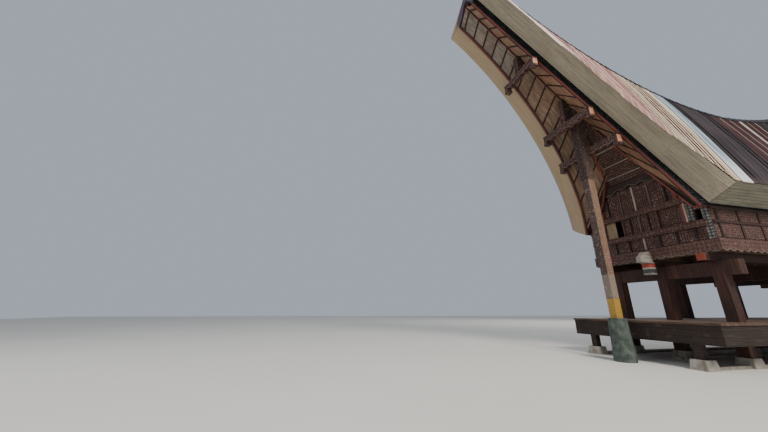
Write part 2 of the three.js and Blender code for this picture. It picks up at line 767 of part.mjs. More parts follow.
const stations = roofStations();
const slope = roofSlope(stations);
const board = borderBoard(stations);
for (const [group, side] of [[house, 'right'], [rear, 'left']]) {
  addMesh(group, `${side}_wall`, sideWall(), carvedWood());
  addMesh(group, `${side}_roof_slope`, slope.clone(), sheetMetal());
  addMesh(group, `${side}_border_board`, board.clone(), blackBoard());
}
addMesh(house, 'ridge_cap', ridgeCap(stations), capMetal());

for (const [group, end] of [[front, 'front'], [rear, 'rear']]) {
  addMesh(group, `${end}_wall`, endWall(), carvedWood());
  addMesh(group, `${end}_gable`, gable(), carvedWood());
  const halfEnd = -WINDOW_OUTER + HALF_SHUTTER_WIDTH;
  addMesh(group, `${end}_half_shutter`, shutter(-WINDOW_OUTER, halfEnd), shutterPaint());
  addMesh(group, `${end}_closed_shutter`, shutter(WINDOW_INNER + SHUTTER_GAP, WINDOW_OUTER), carvedWood());
  addMesh(group, `${end}_soffit`, soffit(stations), wovenMat());
  addMesh(group, `${end}_ridge_beam`, ridgeBeam(), redBeam());
  addMesh(group, `${end}_prow_face`, prowFace(slope, board), capMetal());
  for (const tie of TIES) addMesh(group, `${end}_${tie.name}_tie_beam`, tieBeam(tie), carvedWood());
  addMesh(group, `${end}_tulak_somba`, tulakSomba(), carvedWood());
  addMesh(group, `${end}_pedestal`, pedestal(), stone());
}
addMesh(front, 'buffalo_head', buffaloHead(), paleCarving());

export default house;
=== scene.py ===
# %% [markdown]
# A tongkonan is the ancestral house of the Toraja highlands: a closed wooden house on an open storey
# of posts, under a saddle roof whose two ends sweep up into prows. The frame of the house comes
# packed from the CAD model. Blender adds what the frame leaves out: the metal sheets, the laps of
# the roof's edge, the mats, battens and carved boards, and what each surface is made of.
# %% Load the frame
import bpy
import numpy as np
from mathutils import Euler, Matrix, Vector


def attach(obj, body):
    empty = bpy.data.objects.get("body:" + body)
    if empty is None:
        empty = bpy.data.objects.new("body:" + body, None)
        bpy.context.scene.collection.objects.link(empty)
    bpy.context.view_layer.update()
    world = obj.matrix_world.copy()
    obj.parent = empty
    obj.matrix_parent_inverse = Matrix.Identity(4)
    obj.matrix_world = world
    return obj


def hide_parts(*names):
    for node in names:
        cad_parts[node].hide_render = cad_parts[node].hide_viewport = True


SEED = 1703
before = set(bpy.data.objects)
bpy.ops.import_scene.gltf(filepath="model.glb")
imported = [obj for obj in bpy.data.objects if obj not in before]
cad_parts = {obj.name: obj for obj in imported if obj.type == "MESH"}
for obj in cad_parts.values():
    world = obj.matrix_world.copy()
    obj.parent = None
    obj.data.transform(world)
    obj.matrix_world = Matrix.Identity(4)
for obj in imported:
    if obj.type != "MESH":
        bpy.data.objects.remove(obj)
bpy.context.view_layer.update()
dice = np.random.default_rng(SEED)
print("frame:", len(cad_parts), "nodes")

# %% [markdown]
# Every new piece here is a whole array of points turned into one mesh. A grid of points becomes
# four-cornered faces; many small timbers become one piece, because they share one finish. All
# places are metres in the frame's own axes, so no piece is moved or turned once it is made. The rear
# of the house is its front turned half round, and the left side is the right one turned likewise.
# %% Arrays into pieces
ENDS = ("front", "rear")
SIDES = ("right", "left")


def unit(vectors):
    """The same directions with length one."""
    return vectors / np.linalg.norm(vectors, axis=-1, keepdims=True)


def grid_part(points, turned=False):
    """A (rows, columns, 3) grid as a (points, faces) part, with a face between each four neighbours;
    turned looks the other way."""
    rows, columns = points.shape[:2]
    corner = np.arange(rows * columns).reshape(rows, columns)
    faces = np.stack([corner[:-1, :-1], corner[:-1, 1:], corner[1:, 1:], corner[1:, :-1]], axis=-1)
    return points.reshape(-1, 3), faces.reshape(-1, 4)[:, ::-1 if turned else 1].tolist()


def prism_faces(corners, start=0):
    """Faces of a body between two rings of corners that are numbered one after the other."""
    low = list(range(start, start + corners))
    high = [corner + corners for corner in low]
    return [[low[k - 1], low[k], high[k], high[k - 1]] for k in range(corners)] + [low[::-1], high]


def joined(parts):
    """Several (points, faces) parts as one."""
    points, faces, start = [], [], 0
    for part_points, part_faces in parts:
        points.append(part_points)
        faces += [[corner + start for corner in face] for face in part_faces]
        start += len(part_points)
    return np.concatenate(points), faces


def mirrored(part, x, y):
    """A part mirrored across the ridge where x is -1, and front to rear where y is -1. Both turn it
    half round; one alone also winds its faces back."""
    points, faces = part
    return points * (x, y, 1), faces if x == y else [face[::-1] for face in faces]


def both_sides(part):
    """A part and its mirror image across the ridge."""
    return joined([part, mirrored(part, -1, 1)])


def new_object(name, data):
    """An object in the scene, at the origin and unturned."""
    made = bpy.data.objects.new(name, data)
    bpy.context.scene.collection.objects.link(made)
    return made


def add_piece(name, part, look, uv=None, smooth=False, replaces=()):
    """One object from a (points, faces) part, riding on the house."""
    points, faces = part
    mesh = bpy.data.meshes.new(name)
    mesh.from_pydata(points.tolist(), [], faces)
    if uv is not None:
        corners = np.concatenate([np.asarray(face) for face in faces])
        mesh.uv_layers.new(name="along").data.foreach_set("uv", uv.reshape(-1, 2)[corners].ravel())
    mesh.materials.append(look)
    mesh.update()
    piece = new_object(name, mesh)
    if smooth:
        mesh.shade_smooth()
    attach(piece, "root")
    if replaces:
        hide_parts(*replaces)
    print(name, len(points), "points")


def add_pair(places, name, part, look, uv=None, smooth=False, stands_for=None, shift=(0, 0)):
    """A piece at the first of two places, and turned half round at the second, where shift is added
    to its coordinates. stands_for ends the name of the node that it replaces."""
    for place, turn in zip(places, (1, -1)):
        nodes = [place + "_" + stands_for] if stands_for else ()
        add_piece(place + "_" + name, mirrored(part, turn, turn), look, uv, smooth, nodes)
        uv = None if uv is None else uv + shift


print("pieces come in pairs:", ENDS, SIDES)

# %% [markdown]
# Most of the woodwork is straight timber with its edges eased by hand. A bar is an eight-sided
# profile carried from one point to another, all the bars of a piece in one array. A board is a flat
# outline given some thickness.
# %% Straight timbers
EASED = 0.12
BAR_CORNERS = 8


def bars(starts, ends, width, depth, up=(0, 0, 1)):
    """Timbers from starts to ends, width across and depth along the up direction made square to
    the run; each corner is cut off by an eighth of the smaller side."""
    starts, ends = (np.atleast_2d(points).astype(float) for points in (starts, ends))
    run = unit(ends - starts)
    side = unit(np.cross(run, up))
    top = np.cross(side, run)
    wide, deep = width / 2, depth / 2
    cut = 2 * EASED * min(wide, deep)
    a = np.array([wide - cut, wide, wide, wide - cut])
    b = np.array([-deep, cut - deep, deep - cut, deep])
    a, b = (np.concatenate([half, -half])[:, None] for half in (a, b))
    ring = a * side[:, None] + b * top[:, None]
    points = np.stack([starts[:, None] + ring, ends[:, None] + ring], axis=1).reshape(-1, 3)
    firsts = range(0, len(points), 2 * BAR_CORNERS)
    return points, [face for first in firsts for face in prism_faces(BAR_CORNERS, first)]


def on_wall(x, out, z):
    """Points at a distance in front of the middle of the house."""
    return np.stack([x, -out, z], axis=1)


def board(outline, near, far, place=on_wall):
    """A flat board from an [x, z] outline that runs against the clock seen from the front, between
    the distances near and far in front; place maps (x, distance, z) to the frame."""
    x, z = np.asarray(outline, float).T
    points = np.concatenate([place(x, np.full_like(x, out), z) for out in (near, far)])
    return points, prism_faces(len(x))


def rectangle(x0, x1, z0, z1):
    """The outline of a rectangle, run against the clock."""
    return np.array([[x0, z0], [x1, z0], [x1, z1], [x0, z1]])


print("timber profile:", BAR_CORNERS, "sides")

# %% [markdown]
# The camera stands where the photographer stood: at eye height, a little under nine metres to the
# side and nineteen in front of the middle of the house, looking up with a wide lens.
# %% Camera
EYE = (8.5244, -19.0, 1.6)
EYE_TURN = (106.9664, -0.2070, 76.3852)
LENS = 14.2082
SENSOR_WIDTH = 36.0
FARTHEST = 200.0

view = bpy.data.cameras.new("eye")
view.lens, view.sensor_width, view.clip_end = LENS, SENSOR_WIDTH, FARTHEST
eye = new_object("eye", view)
eye.matrix_world = Matrix.Translation(EYE) @ Euler(np.radians(EYE_TURN), "XYZ").to_matrix().to_4x4()
bpy.context.scene.camera = eye
print("camera at", EYE)

# %% [markdown]
# The house stands on a plain pale floor in soft studio light. One broad light high on the near side
# plays the sun's part, a weak one fills the front, a third lights the far side from behind, and the
# sky all round is an even pale blue.
# %% Floor and light
FLOOR_HALF = 60.0
LIT_PLACE = (0, 0, 6)
LIGHTS = [
    ("key", (26.0, -10.0, 26.0), 10.0, 13500.0, (1.0, 0.95, 0.88)),
    ("fill", (4.0, -34.0, 12.0), 18.0, 1500.0, (0.93, 0.96, 1.0)),
    ("back", (-26.0, 20.0, 22.0), 18.0, 4200.0, (1.0, 0.97, 0.93)),
]
SKY_COLOUR = (0.72, 0.80, 0.92, 1)
SKY_STRENGTH = 0.55

floor_mesh = bpy.data.meshes.new("floor")
floor_corners = rectangle(-FLOOR_HALF, FLOOR_HALF, -FLOOR_HALF, FLOOR_HALF)
floor_mesh.from_pydata([(x, y, 0) for x, y in floor_corners.tolist()], [], [(0, 1, 2, 3)])
floor = new_object("floor", floor_mesh)

for name, place, size, power, colour in LIGHTS:
    lamp = bpy.data.lights.new(name, "AREA")
    lamp.shape = "DISK"
    lamp.size, lamp.energy, lamp.color = size, power, colour
    turn = (Vector(place) - Vector(LIT_PLACE)).to_track_quat("Z", "Y")
    new_object(name, lamp).matrix_world = Matrix.Translation(place) @ turn.to_matrix().to_4x4()

sky = bpy.data.worlds.new("sky")
sky.use_nodes = True
backdrop = sky.node_tree.nodes["Background"].inputs
backdrop["Color"].default_value = SKY_COLOUR
backdrop["Strength"].default_value = SKY_STRENGTH
bpy.context.scene.world = sky
print(len(LIGHTS), "lights")

# %% [markdown]
# Finishes are built from nodes. The output of a node is wrapped as a Value, so a sum on it is
# written like any other sum and adds Math nodes. A node joins the tree that its inputs belong to.
# Colours are six-digit codes as they look on a screen, and are turned into linear light.
# %% Values and nodes


class Value:
    """The output of a node in a tree; +, -, * and / on it add a Math node each."""

    def __init__(self, tree, socket):
        self.tree, self.socket = tree, socket

    __add__ = __radd__ = lambda self, other: calc("ADD", self, other)
    __mul__ = __rmul__ = lambda self, other: calc("MULTIPLY", self, other)
    __sub__ = lambda self, other: calc("SUBTRACT", self, other)
    __rsub__ = lambda self, other: calc("SUBTRACT", other, self)
    __truediv__ = lambda self, other: calc("DIVIDE", self, other)


def put(kind, inputs, settings=(), output=0):
    """Adds a shader node whose inputs are Values or plain values, and returns one output of it."""
    tree = next(value.tree for value in inputs.values() if isinstance(value, Value))
    made = tree.nodes.new("ShaderNode" + kind)
    for key, value in dict(settings).items():
        setattr(made, key, value)
    for key, value in inputs.items():
        if isinstance(value, Value):
            tree.links.new(value.socket, made.inputs[key])
        else:
            made.inputs[key].default_value = value
    return Value(tree, made.outputs[output])


def calc(operation, first, second=0.0):
    """One Math node."""
    return put("Math", {0: first, 1: second}, {"operation": operation})


def split(whole):
    """The x, y and z of a vector."""
    outputs = put("SeparateXYZ", {"Vector": whole}).socket.node.outputs
    return [Value(whole.tree, output) for output in outputs]


def step(source, low, high):
    """0 below low, 1 above high, and a smooth rise between."""
    inputs = {"Value": source, "From Min": low, "From Max": high}
    return put("MapRange", inputs, {"interpolation_type": "SMOOTHSTEP"})


def uneven(where, scale, detail=3.0, stretch=(1, 1, 1)):
    """Noise about 0.5, drawn out along each axis whose stretch is small."""
    moved = put("Mapping", {"Vector": where, "Scale": stretch})
    return put("TexNoise", {"Vector": moved, "Scale": scale, "Detail": detail})


def any_number(source):
    """A random number from 0 to 1 for each whole number."""
    return put("TexWhiteNoise", {"W": source}, {"noise_dimensions": "1D"})


def paint(code):
    """A six-digit colour code as linear red, green, blue, alpha."""
    shown = np.array([int(code[k:k + 2], 16) for k in (0, 2, 4)]) / 255
    linear = np.where(shown <= 0.04045, shown / 12.92, ((shown + 0.055) / 1.055) ** 2.4)
    return (*linear.tolist(), 1.0)


def over(below, *layers):
    """A colour with others laid over it in turn, each a (mask, colour) that shows where its mask
    is 1; a colour is a code or a Value."""
    for mask, above in layers:
        below, above = (paint(colour) if isinstance(colour, str) else colour for colour in (below, above))
        below = put("Mix", {0: mask, 6: below, 7: above}, {"data_type": "RGBA"}, 2)
    return below


def ramp(source, stops, steps=False):
    """A colour ramp over (place, colour code) stops; steps changes colour at once at each stop."""
    made = put("ValToRGB", {0: source})
    band = made.socket.node.color_ramp
    band.interpolation = "CONSTANT" if steps else "LINEAR"
    while len(band.elements) < len(stops):
        band.elements.new(0.5)
    for element, (place, code) in zip(band.elements, stops):
        element.position = place
        element.color = paint(code)
    return made


class Finish:
    """A material under way."""

    def __init__(self, name, roughness, metallic=0.0, specular=0.5):
        self.material = bpy.data.materials.new(name)
        self.material.use_nodes = True
        self.tree = self.material.node_tree
        self.inputs = self.tree.nodes["Principled BSDF"].inputs
        self.inputs["Roughness"].default_value = roughness
        self.inputs["Metallic"].default_value = metallic
        self.inputs["Specular IOR Level"].default_value = specular

    def place(self):
        """The place on the object, whole and as x, y and z by name."""
        whole = Value(self.tree, self.tree.nodes.new("ShaderNodeTexCoord").outputs["Object"])
        return whole, dict(zip("XYZ", split(whole)))

    def along(self):
        """The piece's own coordinates, whole and as the length along it and the width across."""
        source = self.tree.nodes.new("ShaderNodeUVMap")
        source.uv_map = "along"
        whole = Value(self.tree, source.outputs[0])
        return whole, *split(whole)[:2]

    def done(self, colour, height=None, strength=0.0, distance=0.0):
        """The material with its colour, and with bumps where a height is given."""
        self.tree.links.new(colour.socket, self.inputs["Base Color"])
        if height:
            bump = put("Bump", {"Height": height, "Strength": strength, "Distance": distance})
            self.tree.links.new(bump.socket, self.inputs["Normal"])
        return self.material


print("finish helpers ready")

# %% [markdown]
# The floor is one pale matt colour with the faintest cloud in it, so nothing on it draws the eye.
# %% Floor finish
floor_finish = Finish("pale_floor", 0.9)
cloud = uneven(floor_finish.place()[0], 0.2)
floor_mesh.materials.append(floor_finish.done(ramp(cloud, [(0.3, "d3cfc6"), (0.7, "d8d4cc")])))
print("floor painted")

# %% [markdown]
# Old timber is dark along the grain and mostly paler where rain and hands have worn it. The grain is
# noise drawn out along the timber, so each direction of timber has its own finish.
# %% Timber finishes
GRAIN = {"X": (0.06, 1, 1), "Y": (1, 0.06, 1), "Z": (1, 1, 0.06)}
SEAM_HALF = 0.012
BEAM_ENDS = ("Y", 7.08, "7d3825")


def timber(name, dark, light, along="Z", worn=None, roughness=0.75, seams=None, ends=None):
    """Grain along one axis between two colours and worn patches; seams is (axis, pitch) of its board
    joints, and ends is (axis, distance, colour) of the paint beyond a distance from the middle."""
    look = Finish(name, roughness)
    where, axes = look.place()
    grain = uneven(where, 34.0, 6.0, GRAIN[along])
    colour = over(ramp(grain, [(0.32, dark), (0.68, light)]),
                  (0.45 * step(uneven(where, 1.3), 0.35, 0.7), dark))
    if worn:
        colour = over(colour, (0.7 * step(uneven(where, 5.0, 5.0, GRAIN[along]), 0.55, 0.75), worn))
    height = grain
    if seams:
        axis, pitch = seams
        solid = step(calc("PINGPONG", axes[axis], pitch / 2), 0.0, SEAM_HALF)
        colour = over("0c0806", (solid, colour))
        height = grain * solid
    if ends:
        axis, distance, code = ends
        colour = over(colour, (step(calc("ABSOLUTE", axes[axis]), distance, distance + 0.01), code))
    return look.done(colour, height, 0.5, 0.006)


post_timber = timber("post_timber", "1f0f0b", "4c291c", "Z", "6e4630")
beam_timber_y = timber("beam_timber_y", "1c0e0a", "452719", "Y", "64402c")
floor_beam_timber = timber("floor_beam_timber", "1c0e0a", "452719", "Y", "64402c", ends=BEAM_ENDS)
skirt_timber = timber("skirt_timber", "17100d", "3d2c23", "Y", "4b3a30", 0.85, seams=("Z", 0.175))
deck_timber = timber("deck_timber", "2e2019", "6d5341", "X", "8d7460", 0.85, seams=("Y", 0.24))
dark_timber = timber("dark_timber", "0f0908", "2a1712", "Z", None, 0.8)
dim_timber = timber("dim_timber", "4a3b33", "75655a", "Z", "352720", 0.8)
red_timber = timber("red_timber", "34120d", "6a281c", "Y", "2a120e")
batten_timber = timber("batten_timber", "1d0b09", "3f1711", "X")
pale_timber = timber("pale_timber", "857a6e", "b3a899", "Z", "5f5249")
wavy_timber = timber("wavy_timber", "1d110e", "45302a", "X", "5b453c", 0.8)
rim_finish = timber("scallop_rim", "5d4f46", "8a7c70", "X", "3f322b", 0.7)
plate_finish = timber("peach_plates", "b06a4e", "e0a684", "Z", "8a4632", 0.65)
shutter_boards = timber("shutter_boards", "75624a", "9c8666", "Z", "6a563c", 0.75)
print("timber finishes ready")

# %% [markdown]
# Toraja carving is cut with a knife into blackened boards, and the cut ground is filled with red
# earth, yellow ochre, white lime and soot. The boards carry repeated figures: rayed discs, nested
# lozenges and scrolls. Here each square cell holds nested rings or nested lozenges in turn, from
# the distance to the middle of the cell, and the same distance cuts the grooves.
# %% Carved finishes
FIGURE = [(0.0, "a8743a"), (0.07, "0e0807"), (0.12, "b9aea0"), (0.15, "120a08"), (0.2, "7a2418"),
          (0.29, "0e0807"), (0.33, "a99e90"), (0.355, "160b09"), (0.41, "6a2016"), (0.47, "0e0807")]
GREY_FIGURE = [(0.0, "cfcac2"), (0.1, "0d0d10"), (0.18, "d4d0c8"), (0.24, "16161a"), (0.4, "b3b0aa"),
               (0.44, "0f0f12")]
STRIP_FIGURE = [(0.0, "b0a296"), (0.16, "7e2c20"), (0.3, "c09a84"), (0.4, "2a1512")]
JAMB_FIGURE = [(0.0, "d9ccb8"), (0.12, "9c3524"), (0.24, "e0d4c0"), (0.34, "a8402a"), (0.44, "2b1310")]
ZONE_EDGE = 0.02


def carved(name, across, cell, wash, strength, figure=FIGURE, roughness=0.72, zones=(),
           chipped="a08f82", chips=0.55):
    """Rings and lozenges in square cells between z and another axis (X + Y runs on round a corner).
    They lie over a wash of one colour by a share of strength. Zones are (axis, from, to, colour,
    share) bands laid over them, and chips of a last colour lie over all."""
    look = Finish(name, roughness)
    where, axes = look.place()
    axes["X + Y"] = axes["X"] + axes["Y"]
    a, b = axes[across] / cell, axes["Z"] / cell
    in_a, in_b = (calc("ABSOLUTE", calc("FRACT", number) - 0.5) for number in (a, b))
    ring = calc("SQRT", in_a * in_a + in_b * in_b)
    lozenge = (in_a + in_b) * 0.62
    odd = calc("FRACT", (calc("FLOOR", a) + calc("FLOOR", b)) * 0.5)
    chosen = calc("GREATER_THAN", odd, 0.25)
    waver = (uneven(where, 30.0, 2.0) - 0.5) * 0.3
    distance = ring * chosen + lozenge * (1.0 - chosen) + waver
    worn = step(uneven(where, 4.0, 6.0), 0.4, 0.7) * 0.5
    colour = over(wash, (strength, over(ramp(distance, figure, steps=True), (worn, "2a1611"))))
    for axis, low, high, code, share in zones:
        inside = step(axes[axis], low, low + ZONE_EDGE) * (1.0 - step(axes[axis], high - ZONE_EDGE, high))
        colour = over(colour, (inside * share, code))
    colour = over(colour, (step(uneven(where, 17.0), 0.58, 0.68) * chips, chipped))
    return look.done(colour, calc("SINE", distance * 40.0), 0.6, 0.006)


carved_front = carved("carved_front", "X", 0.075, "1e0f0b", 0.75)
carved_beam = carved("carved_beam", "X + Y", 0.12, "4c3029", 0.45, chips=0.35)
carved_side = carved("carved_side", "Y", 0.08, "1e0f0b", 0.72)
carved_gable = carved("carved_gable", "X", 0.085, "1e0f0b", 0.72)
carved_light = carved("carved_light", "X", 0.1, "1b1a1c", 0.66, GREY_FIGURE)
carved_tie = carved("carved_tie", "X", 0.12, "2f211e", 0.6)
strip_finish = carved("scallop_paint", "X", 0.07, "5a4540", 0.6, STRIP_FIGURE)
jamb_finish = carved("jamb_paint", "X", 0.07, "b8a892", 0.6, JAMB_FIGURE)
print("carved finishes ready")

# %% [markdown]
# The roof's shape comes from four curves, each a cubic with four control points, the same ones as
# in the CAD model: the outer edge from the eave's corner up to the prow, the inner edge of the
# boards that line it from below, the trim under that, and the ridge. Between the corners the eave
# is straight.
# %% Curves of the roof
VERGE = np.array([[2.96, 7.0, 5.2], [1.9, 8.4, 8.3], [1.4, 11.1, 11.5], [1.36, 13.5, 13.4]])
RIDGE = np.array([[0, 0, 10.58], [0, 4.5, 10.7], [0, 8.5, 12.6], [0, 13.0, 15.9]])
TRIM = np.array([[2.125, 7.2, 4.77], [1.15, 8.05, 7.6], [0.6, 10.9, 10.9], [0.59, 13.5, 13.2]])
FASCIA = np.array([[2.25, 7.07, 4.795], [1.366, 7.476, 6.903], [0.7, 10.121, 10.54],
                   [0.654, 13.46, 13.446]])
PROW_Y = 13.5
RIDGE_END = 13.0
NEAR_Y = 0.12
NEAR_T = 0.01


def cubic(control, t):
    """Points of the cubic at t: each control point weighted by its share at t."""
    t = np.asarray(t, float)[:, None]
    return ((1 - t) ** 3 * control[0] + 3 * (1 - t) ** 2 * t * control[1]
            + 3 * (1 - t) * t ** 2 * control[2] + t ** 3 * control[3])


FINE = np.linspace(0, 1, 400)
verge_line, ridge_line, trim_line = cubic(VERGE, FINE), cubic(RIDGE, FINE), cubic(TRIM, FINE)


def along_eave(corner, share):
    """Points of a straight line along the eave: the middle at share 0 and the corner at 1."""
    return corner * (1, 0, 1) + share[:, None] * (0, corner[1], 0)


def on_line(line, y):
    """Points of a line that runs along y, at the distances |y| from the middle, with y's own sign."""
    y = np.asarray(y, float)
    x, z = (np.interp(np.abs(y), line[:, 1], line[:, axis]) for axis in (0, 2))
    return np.stack([x, y, z], axis=-1)


def slope_points(y, t):
    """Points of the right slope: from the outer edge at y (t = 0) straight to the ridge (t = 1)."""
    edge = on_line(verge_line, y)
    ridge = on_line(ridge_line, y * RIDGE_END / PROW_Y)
    t = np.asarray(t)[..., None]
    return (1 - t) * edge + t * ridge


def slope_normals(y, t):
    """Unit directions out of the right slope, from the change along y and along t."""
    along = slope_points(y + NEAR_Y, t) - slope_points(y - NEAR_Y, t)
    up = slope_points(y, t + NEAR_T) - slope_points(y, t - NEAR_T)
    out = np.cross(along, up)
    return unit(out * np.sign(out[..., :1]))


print("edge", verge_line[0], "to", verge_line[-1])

# %% [markdown]
# The roof is covered with corrugated sheets of many ages. A sheet runs from the ridge down to the
# edge; towards the prow the sheets fan out, because the edge is longer than the ridge. Each sheet is
# eight waves of 76 mm, three rows lap down the slope, and the lowest ends are cut unevenly.
# The surface is the slope pushed out by a cosine across the sheet, plus the lift of each lap. Over
# the near verge the lowest ends have sagged and hang down past the lining.
# %% Corrugated sheets
RIDGE_OF_RIB = [-13, -10, -7.63, -6.24, -4.62, -3.54, -1.3, -0.25, 1.29, 3, 5, 6.5, 8, 10, 13]
RIB_SAMPLES = 1600
EDGE_OF_RIB = [-13.5, -10.8, -8.85, -7.82, -6.85, -6.11, -4.35, -3.6, -2.27, -0.3, 3.2, 6.5, 9.1, 10.8,
               13.5]
WAVE = 0.076
WAVES_A_SHEET = 8
SAMPLES_A_WAVE = 6
WAVE_DEPTH = 0.009
LAP_ROWS = 3
STEPS_A_ROW = 6
ROW_LENGTH = 2.2
SHEET_BASE = 0.016
LAP_LIFT = 0.006
LAP_OVER = 0.05
FOOT_INSET = 0.022
HEAD_INSET = 0.02
TILT = 0.004
CUT_UNEVEN = 0.05
CUT_SHARE = [[1.0], [0.1], [0.1]]
DROOP_Y = [-13.5, -12.6, -11.5, -10.9, -10.2, -9.7, -9.2, -8.6, -8.1, -7.75, -7.5, -7.25]
DROOP = [0.04, 0.12, 0.18, 0.24, 0.2, 0.36, 0.34, 0.32, 0.36, 0.22, 0.1, 0.015]
DROOP_SPREAD = (0.8, 1.15)
DROOP_OUT = (0.15, 0.0, -1.0)
BEND = (1.0, 0.66, 0.3)


def arc(points):
    """Length along a line of points, from its start."""
    return np.concatenate([[0], np.cumsum(np.linalg.norm(np.diff(points, axis=0), axis=1))])


rib_ridge = np.linspace(-RIDGE_END, RIDGE_END, RIB_SAMPLES)
rib_edge = np.interp(rib_ridge, RIDGE_OF_RIB, EDGE_OF_RIB)
rib_length = (arc(on_line(ridge_line, rib_ridge)) + arc(on_line(verge_line, rib_edge))) / 2
WAVES = int(rib_length[-1] / WAVE)
sheet_count = WAVES // WAVES_A_SHEET + 1
sheet_tilt = dice.uniform(0, TILT, (LAP_ROWS, sheet_count))
sheet_short = dice.uniform(0.0, CUT_UNEVEN, (LAP_ROWS, sheet_count)) * CUT_SHARE
sheet_droop = dice.uniform(*DROOP_SPREAD, sheet_count)


def sheet_surface(first_wave, last_wave):
    """The lap rows of the sheets between two waves, with their coordinates: waves along the house,
    and a length up the slope that is negative on the hanging ends."""
    wave = np.arange(first_wave * SAMPLES_A_WAVE, last_wave * SAMPLES_A_WAVE + 1) / SAMPLES_A_WAVE
    length = np.clip(wave * WAVE, 0, rib_length[-1])
    ridge_y = np.interp(length, rib_length, rib_ridge) * PROW_Y / RIDGE_END
    edge_y = np.interp(length, rib_length, rib_edge)
    sheet = np.minimum((wave / WAVES_A_SHEET).astype(int), sheet_count - 1)
    foot, head = slope_points(edge_y, np.zeros_like(wave)), slope_points(ridge_y, np.ones_like(wave))
    reach = np.linalg.norm(foot - head, axis=1)
    within = np.linspace(0, 1, STEPS_A_ROW)[:, None]
    parts, uvs = [], []
    for row in range(LAP_ROWS):
        low = row / LAP_ROWS + (FOOT_INSET - (LAP_OVER if row else 0) + sheet_short[row, sheet]) / reach
        high = (row + 1) / LAP_ROWS - (HEAD_INSET / reach if row == LAP_ROWS - 1 else 0)
        t = low + (high - low) * within
        y = edge_y + (ridge_y - edge_y) * t
        height = (SHEET_BASE + WAVE_DEPTH * np.cos(2 * np.pi * wave) + LAP_LIFT * (1 - within)
                  + sheet_tilt[row, sheet])
        points = slope_points(y, t) + slope_normals(y, t) * height[..., None]
        up = ROW_LENGTH * (row + within) * np.ones_like(wave)
        if row == 0:
            hang = np.array(BEND)[:, None] * np.interp(y[0], DROOP_Y, DROOP) * sheet_droop[sheet]
            points = np.concatenate([points[:1] + hang[..., None] * np.array(DROOP_OUT), points])
            up = np.concatenate([-hang, up])
        parts.append(grid_part(points))
        uvs.append(np.stack(np.broadcast_arrays(wave, up), axis=-1).reshape(-1, 2))
    return joined(parts), np.concatenate(uvs)


print(WAVES, "waves in", sheet_count, "sheets")

# %% [markdown]
# The sheets were renewed a few at a time, so the slope is a patchwork: faded pink-brown at the prow,
# bare pale sheets with rust in the valleys, bluish zinc, slate-dark old ones, and red-brown ones
# with grey streaks. Streaks run down the ribs, so they are noise that changes fast along the house
# and hardly at all down the slope. Rust keeps to some strips of four waves, each picked by a random
# number. Painted shade darkens every valley, and the hanging ends are duller, with a painted
# highlight along their edge near the prow. The lower ends of the zinc are whitened by a painted
# highlight, the sun's reflection.
# %% Sheet finishes
STRIP_WAVES = 4.0
SHEETS = {
    "tan": ("a67d74", "d2b3a9", "664341", 0.9),
    "cream": ("b8a48c", "e2d4c0", "3a1e17", 1.0),
    "zinc": ("788a95", "a9b6bd", "5a6570", 0.6, 0.5, 0.2, 0.5),
    "slate": ("2f2b2e", "484043", "161112", 0.8),
    "brown": ("2e1c1a", "473030", "a39a97", 0.5),
}
PATCHES = ["tan", "cream", "zinc", "slate", "brown", "rear_slate", "rear_zinc", "rear_cream", "rear_tan"]
PATCH_ENDS = [-13.0, -6.76, -4.62, -3.54, -1.3, 2.4, 4.3, 5.6, 7.8, 13.0]
FAR_WAVES = (53.0, 0.0)


def sheet_metal(name, base, second, rust, lines, roughness=0.7, metallic=0.05, painted_glare=0.0):
    """Painted or bare corrugated sheet: two tones in long streaks, painted shade in the valleys, rust
    along a share of lines of the strips, and the lower ends whitened by the given share with a
    painted highlight, the sun's reflection."""
    look = Finish(name, roughness, metallic, 0.1)
    rib, down = look.along()[1:]
    where = put("CombineXYZ", {"X": rib, "Y": down * 0.9})
    streak = uneven(where, 1.0, 4.0, (0.9, 0.35, 1))
    fine = uneven(where, 1.0, 5.0, (5.0, 1.2, 1))
    blotch = uneven(where, 1.0, 5.0, (0.25, 1.6, 1))
    seam = 1.0 - step(calc("PINGPONG", rib, WAVES_A_SHEET / 2), 0.1, 0.5)
    strip = (rib + 0.5) / STRIP_WAVES
    picked = step(any_number(calc("FLOOR", strip)), 1.0 - lines, 1.35 - lines)
    some = picked * (1.0 - step(calc("FRACT", strip), 0.56, 0.64))
    hanging = 1.0 - step(down, -0.1, 0.5)
    rusty = calc("MAXIMUM", seam * 0.6, some) * (step(blotch, 0.2, 0.5) * 0.4 + 0.6)
    # painted shade along the bottom of every valley
    valley_shade = 1.0 - step(calc("ABSOLUTE", calc("FRACT", rib) - 0.5), 0.05, 0.22)
    colour = over(base, (step(streak, 0.4, 0.62), second), (step(fine, 0.45, 0.75) * 0.35, second),
                  (rusty * (1.0 - hanging * 0.55), rust), (valley_shade * 0.5, "2a1e1b"))
    # painted highlight: the sun's reflection whitens the lower ends
    if painted_glare:
        low = 1.0 - step(down + (streak * 3.5 + fine * 2.0), 2.6, 4.4)
        colour = over(colour, (low * painted_glare, "f4f1ee"))
    # painted highlight along the hanging edge near the prow
    edge_highlight = hanging * (1.0 - step(rib, 40.0, 65.0))
    colour = over(colour, (hanging * 0.25, "6b5a55"), (edge_highlight * 0.6, "efe6dc"))
    return look.done(colour, fine, 0.15, 0.003)


sheet_finish = {name: sheet_metal(name + "_sheet", *settings) for name, settings in SHEETS.items()}
borders = np.round(np.interp(PATCH_ENDS, rib_ridge, rib_length) / WAVE / WAVES_A_SHEET).astype(int)
borders = np.minimum(borders * WAVES_A_SHEET, WAVES).tolist()
for name, first, last in zip(PATCHES, borders, borders[1:]):
    right, uv = sheet_surface(first, last)
    look = sheet_finish[name.replace("rear_", "")]
    add_pair(SIDES, name + "_sheets", right, look, uv, smooth=True, shift=FAR_WAVES)

